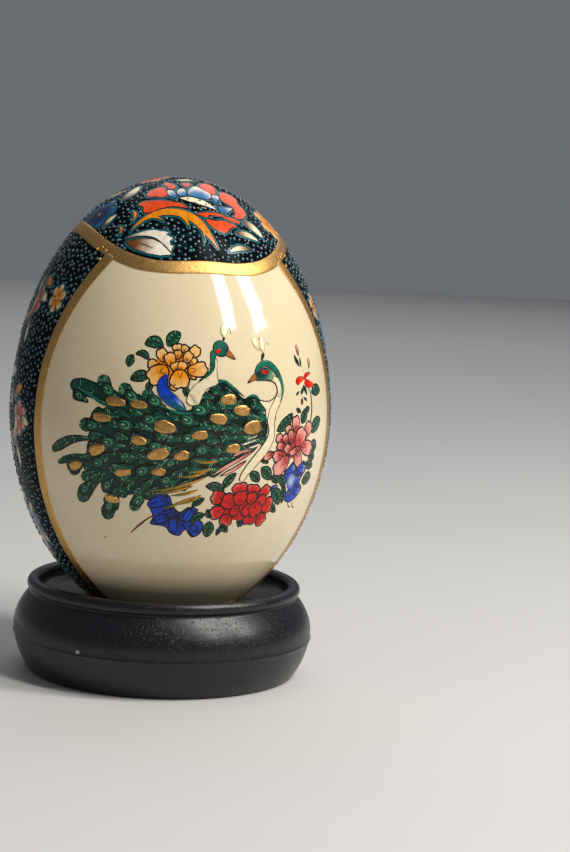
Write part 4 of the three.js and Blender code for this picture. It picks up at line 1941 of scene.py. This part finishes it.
@dataclass
class SideField:
    """A climbing vine of cream and orange leaves with flowers between two panels."""

    form: EggForm
    flowers: tuple[tuple[float, float, float, float], ...] = (
        (3.6, 62, 80, 3.8), (-5, 52.5, 150, 4.4), (5.4, 43, 30, 4.6), (-11.2, 62.6, 40, 3.9),
        (-5.4, 33, 200, 4.4), (4, 24.8, 280, 3.8), (-1.6, 17.6, 20, 2.6), (11.2, 62.6, 80, 3.9),
    )

    def paint(self, facing: float, seed: int) -> Enamel:
        """Draws one side field.

        Args:
            facing: The azimuth of the field's middle.
            seed: Fixes its small differences.

        Returns:
            The drawing.
        """
        enamel = Enamel(PanelChart(self.form, facing), seed)
        vine = [(0, 69), (4, 61.5), (-5.2, 52), (5.8, 42.5), (-5.8, 32.5), (4.4, 24.2),
                (-1.8, 17.4), (0.6, 15.2)]
        enamel.stroke(vine, [0.16, 0.22, 0.22, 0.22, 0.22, 0.2, 0.16, 0.1],
                      Paint(Tint.OLIVE, Tint.BROWN, 2, 0.02, 0.08, 0.22), 90)
        line = spline(vine, 41)
        for number in range(2, 40):
            root = line[number]
            side = 1 if number % 2 else -1
            ahead = line[number] - line[number - 1]
            lean = math.atan2(ahead[1], ahead[0]) + side * (0.95 + 0.25 * math.sin(number * 1.7))
            reach = (4.3 + 0.8 * math.sin(number * 2.1)) * (0.55 + 0.45 * min(1, (root[1] - 12) / 20))
            tip = root + np.array([math.cos(lean), math.sin(lean)]) * reach
            tint = Tint.ORANGE if number % 3 == 0 else Tint.CREAM
            enamel.leaf((*root, *tip, 1.75, 0.35 * side),
                        Paint(Tint.BROWN, tint, 3, 0.03, 0.14, 0.25, (0.1, 0.7)), 2, Tint.WHITE)
        for number, (x, y, degrees, size) in enumerate(self.flowers):
            tints = ((Tint.VERMILION, Tint.CORAL_PALE), (Tint.NAVY, Tint.SKY),
                     (Tint.ROSE, Tint.ROSE_PALE), (Tint.ORANGE, Tint.CREAM))[number % 4]
            enamel.rosette((x, y), degrees, (size * 0.33, size * 0.33), (size * 0.62, size * 0.5),
                           Paint(*tints, 5, 0, 0.15, 0.25))
            enamel.oval((x, y), size * 0.26, size * 0.24, 0,
                        Paint(Tint.ORANGE, Tint.CREAM, 10, 0.05, 0.08))
        return enamel


# ---- the stand


@dataclass
class Stand:
    """The turned stand, from the middle of its underside round to the floor of its well."""

    top: float
    arris_radius: float
    arris: float = 6.4
    foot: float = 22.3
    neck: Point = (22.5, 13.3)
    lip: Point = (21.95, 14.4)
    lip_half: Point = (1.05, 1.1)
    dish_rim: float = 13.2
    seat_edge: Point = (12.69, 10.93)
    seat_round: float = 1.0
    well: float = 6.2
    chip_turn: float = math.radians(-44)
    chip_rise: float = 0.6
    columns: int = 256

    @staticmethod
    def _curve(start: Point, pull: Point, end: Point, count: int) -> Array:
        """A quadratic curve pulled towards one point."""
        u = np.linspace(0, 1, count)[:, None]
        return (1 - u) ** 2 * np.array(start) + 2 * u * (1 - u) * np.array(pull) + u**2 * np.array(end)

    @staticmethod
    def _arc(centre: Point, half: Point, start: float, end: float, count: int) -> Array:
        """An elliptical arc between two angles in degrees."""
        angle = np.radians(np.linspace(start, end, count))
        return np.array(centre) + np.stack([half[0] * np.cos(angle), half[1] * np.sin(angle)], -1)

    def outline(self) -> Array:
        """Radius and height all along the turned profile, with a crisp arris over a cove.

        Returns:
            The profile's points.
        """
        ridge = np.array([(-0.22, -0.45), (-0.04, -0.08), (0.0, 0.0), (-0.04, 0.10), (-0.09, 0.5),
                          (-0.11, 1.0)]) + (self.arris_radius, self.arris)
        flank = self._curve((self.foot, 0.0), (24.1, 2.1), ridge[0], 16)
        belly = self._curve(ridge[-1], (25.15, 10.3), self.neck, 26)
        lip = self._arc(self.lip, self.lip_half, -55, 180, 26)
        edge = self._arc(self.seat_edge, (self.seat_round,) * 2, 90, 180, 10)
        dish = self._curve((self.lip[0] - self.lip_half[0], self.dish_rim), (20.2, 12.4),
                           (self.seat_edge[0] + 0.4, edge[0, 1]), 12)
        inner = edge[-1, 0]
        well = [(inner, self.well + 0.5), (inner - 0.15, self.well + 0.12),
                (inner - 0.6, self.well), (inner / 2, self.well)]
        foot = [(self.foot - 4.0, 0.0), (self.foot - 0.25, 0.0), (self.foot - 0.07, 0.06)]
        return np.vstack([foot, flank[1:-1], ridge, belly[1:], lip, dish, edge, well])

    def build(self) -> bpy.types.Object:
        """Turns the profile and closes it at both middles.

        Returns:
            The piece.
        """
        outline = self.outline()
        azimuth = np.arange(self.columns) / self.columns * 2 * HALF_TURN
        radius, height = outline[:, :1], outline[:, 1:]
        grid = np.stack([radius * np.sin(azimuth), -radius * np.cos(azimuth),
                         height + 0 * azimuth], -1).reshape(-1, 3)
        points = np.vstack([grid, [[0, 0, 0.0], [0, 0, self.well]]])
        parts = MeshParts()
        parts.add(points, turned_triangles(len(outline), self.columns)[:, ::-1])
        chip = (self.arris_radius * MM * math.sin(self.chip_turn),
                -self.arris_radius * MM * math.cos(self.chip_turn), (self.arris + self.chip_rise) * MM)
        piece = parts.piece("turned_stand", material(BlackLacquer("satin_black_lacquer", chip)))
        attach(piece, "stand")
        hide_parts("stand")
        return piece


# ---- the studio


@dataclass(frozen=True)
class Lamp:
    """A rectangular soft light aimed at the egg.

    Attributes:
        name: Its name.
        turn: Degrees to the right of the camera.
        rise: Degrees above the horizon.
        distance: Metres from the egg.
        size: Its width and height in metres.
        power: Watts.
        colour: Its colour.
    """

    name: str
    turn: float
    rise: float
    distance: float
    size: tuple[float, float]
    power: float
    colour: tuple[float, float, float]

    def hang(self, azimuth: float) -> None:
        """Adds it to the scene.

        Args:
            azimuth: Where the camera stands round the egg.
        """
        data = bpy.data.lights.new(self.name, "AREA")
        data.shape = "RECTANGLE"
        data.size, data.size_y = self.size
        data.energy = self.power
        data.color = self.colour
        turn, climb = azimuth + math.radians(self.turn), math.radians(self.rise)
        aim = Vector((0.0, 0.0, 0.045))
        place = Vector((math.cos(climb) * math.sin(turn), -math.cos(climb) * math.cos(turn),
                        math.sin(climb))) * self.distance
        lamp = bpy.data.objects.new(self.name, data)
        lamp.location = aim + place
        lamp.rotation_euler = (-place).to_track_quat("-Z", "Y").to_euler()
        bpy.context.scene.collection.objects.link(lamp)


@dataclass
class Studio:
    """The floor, the lights and the camera."""

    azimuth: float = math.radians(-12.0)
    camera: tuple[float, float] = (334.1, 79.0)
    heading: float = math.radians(15.3)
    pitch: float = math.radians(6.3)
    roll: float = math.radians(2.6)
    lens: float = 84.5
    lamps: tuple[Lamp, ...] = (
        Lamp("key_near", 46, 48, 0.55, (0.08, 0.40), 1.75, (1.0, 0.97, 0.92)),
        Lamp("key_far", 73, 44, 0.55, (0.10, 0.40), 1.95, (1.0, 0.97, 0.92)),
        Lamp("back", 170, 48, 1.3, (1.4, 1.0), 4.0, (0.92, 0.95, 1.0)),
    )

    def shoot(self) -> None:
        """Sets the camera: heading and pitch give its line of sight, and roll turns it."""
        away, height = self.camera
        sight = Vector((math.sin(self.heading) * math.cos(self.pitch),
                        math.cos(self.heading) * math.cos(self.pitch), -math.sin(self.pitch)))
        level = Vector((math.cos(self.heading), -math.sin(self.heading), 0.0))
        upright = level.cross(sight)
        right = math.cos(self.roll) * level + math.sin(self.roll) * upright
        up = math.cos(self.roll) * upright - math.sin(self.roll) * level
        turn = Matrix((right, up, -sight)).transposed()
        data = bpy.data.cameras.new("camera")
        data.lens = self.lens
        data.sensor_width = 36.0
        data.clip_start = 0.01
        camera = bpy.data.objects.new("camera", data)
        camera.matrix_world = turn.to_4x4()
        camera.location = (away * MM * math.sin(self.azimuth), -away * MM * math.cos(self.azimuth),
                           height * MM)
        bpy.context.scene.collection.objects.link(camera)
        bpy.context.scene.camera = camera

    def light(self) -> None:
        """Two upright soft boxes at the upper right, and a wide weak one from behind."""
        world = bpy.data.worlds.new("studio_air")
        world.use_nodes = True
        world.node_tree.nodes["Background"].inputs["Color"].default_value = (0.80, 0.84, 0.92, 1)
        world.node_tree.nodes["Background"].inputs["Strength"].default_value = 0.18
        bpy.context.scene.world = world
        bpy.context.scene.view_settings.view_transform = "Standard"
        for lamp in self.lamps:
            lamp.hang(self.azimuth)

    def floor(self) -> None:
        """A wide pale sheet, gently waved so that it isn't a bare plane."""
        span = np.linspace(-1500, 1500, 61)
        x, y = np.meshgrid(span, span, indexing="ij")
        away = np.clip((np.hypot(x, y) - 300) / 1200, 0, 1)
        z = 2.0 * away**2 * np.sin(x / 190) * np.cos(y / 230)
        parts = MeshParts()
        parts.add(np.stack([x, y, z], -1).reshape(-1, 3), grid_triangles(61, 61))
        parts.piece("studio_floor", material(PaleFloor()))


def main() -> None:
    """Builds the egg, its decoration, the stand and the studio in order."""
    logging.basicConfig(level=logging.INFO, format="%(name)s: %(message)s")
    studio = Studio()
    studio.shoot()
    studio.light()
    studio.floor()
    (low, high), (stand_low, stand_high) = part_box("egg_shell"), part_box("stand")
    form = EggForm(low[2] / MM, high[2] / MM)
    layout = Layout(form)
    Porcelain(form).build()
    Gilding(layout).build()
    ground = Ground(layout)
    ground.crown()
    crown = Crown(form)
    halves = [crown.paint(0.0, seed=11), crown.paint(HALF_TURN, seed=12)]
    fire("crown_flowers", halves)
    whole = halves[0].outlines + [-outline for outline in halves[0].outlines]
    ground.beads("crown_beads", CrownChart(form, 0.0), 0.0, layout.on_crown, whole, seed=21)
    for name, facing, seed in (("right", HALF_TURN / 2, 31), ("left", -HALF_TURN / 2, 32)):
        ground.side(f"{name}_ground", facing)
        side = SideField(form).paint(facing, seed)
        fire(f"{name}_vine", [side])
        ground.beads(f"{name}_beads", PanelChart(form, facing), 45.5, layout.on_side,
                     side.outlines, seed + 10)
    birds, flowers = Peafowl(), Flowers()
    for panel, facing, seed in (("front", 0.0, 51), ("back", HALF_TURN, 61)):
        chart = PanelChart(form, facing)
        bloom = Enamel(chart, seed)
        flowers.paint(bloom)
        fire(f"{panel}_flowers", [bloom])
        pair = Enamel(chart, seed + 1)
        birds.paint(pair)
        fire(f"{panel}_peafowl", [pair])
        fire(f"{panel}_gilt_dabs", [birds.gild(chart, seed + 2)], DAB_GILT)
        fire(f"{panel}_crests", [birds.crests(chart, seed + 3)], CREST_GOLD)
    fire("gilt_corner_beads", [birds.corners(form)], BEAD_GILT)
    Stand(stand_high[2] / MM, stand_high[0] / MM).build()


if __name__ == "__main__":
    main()
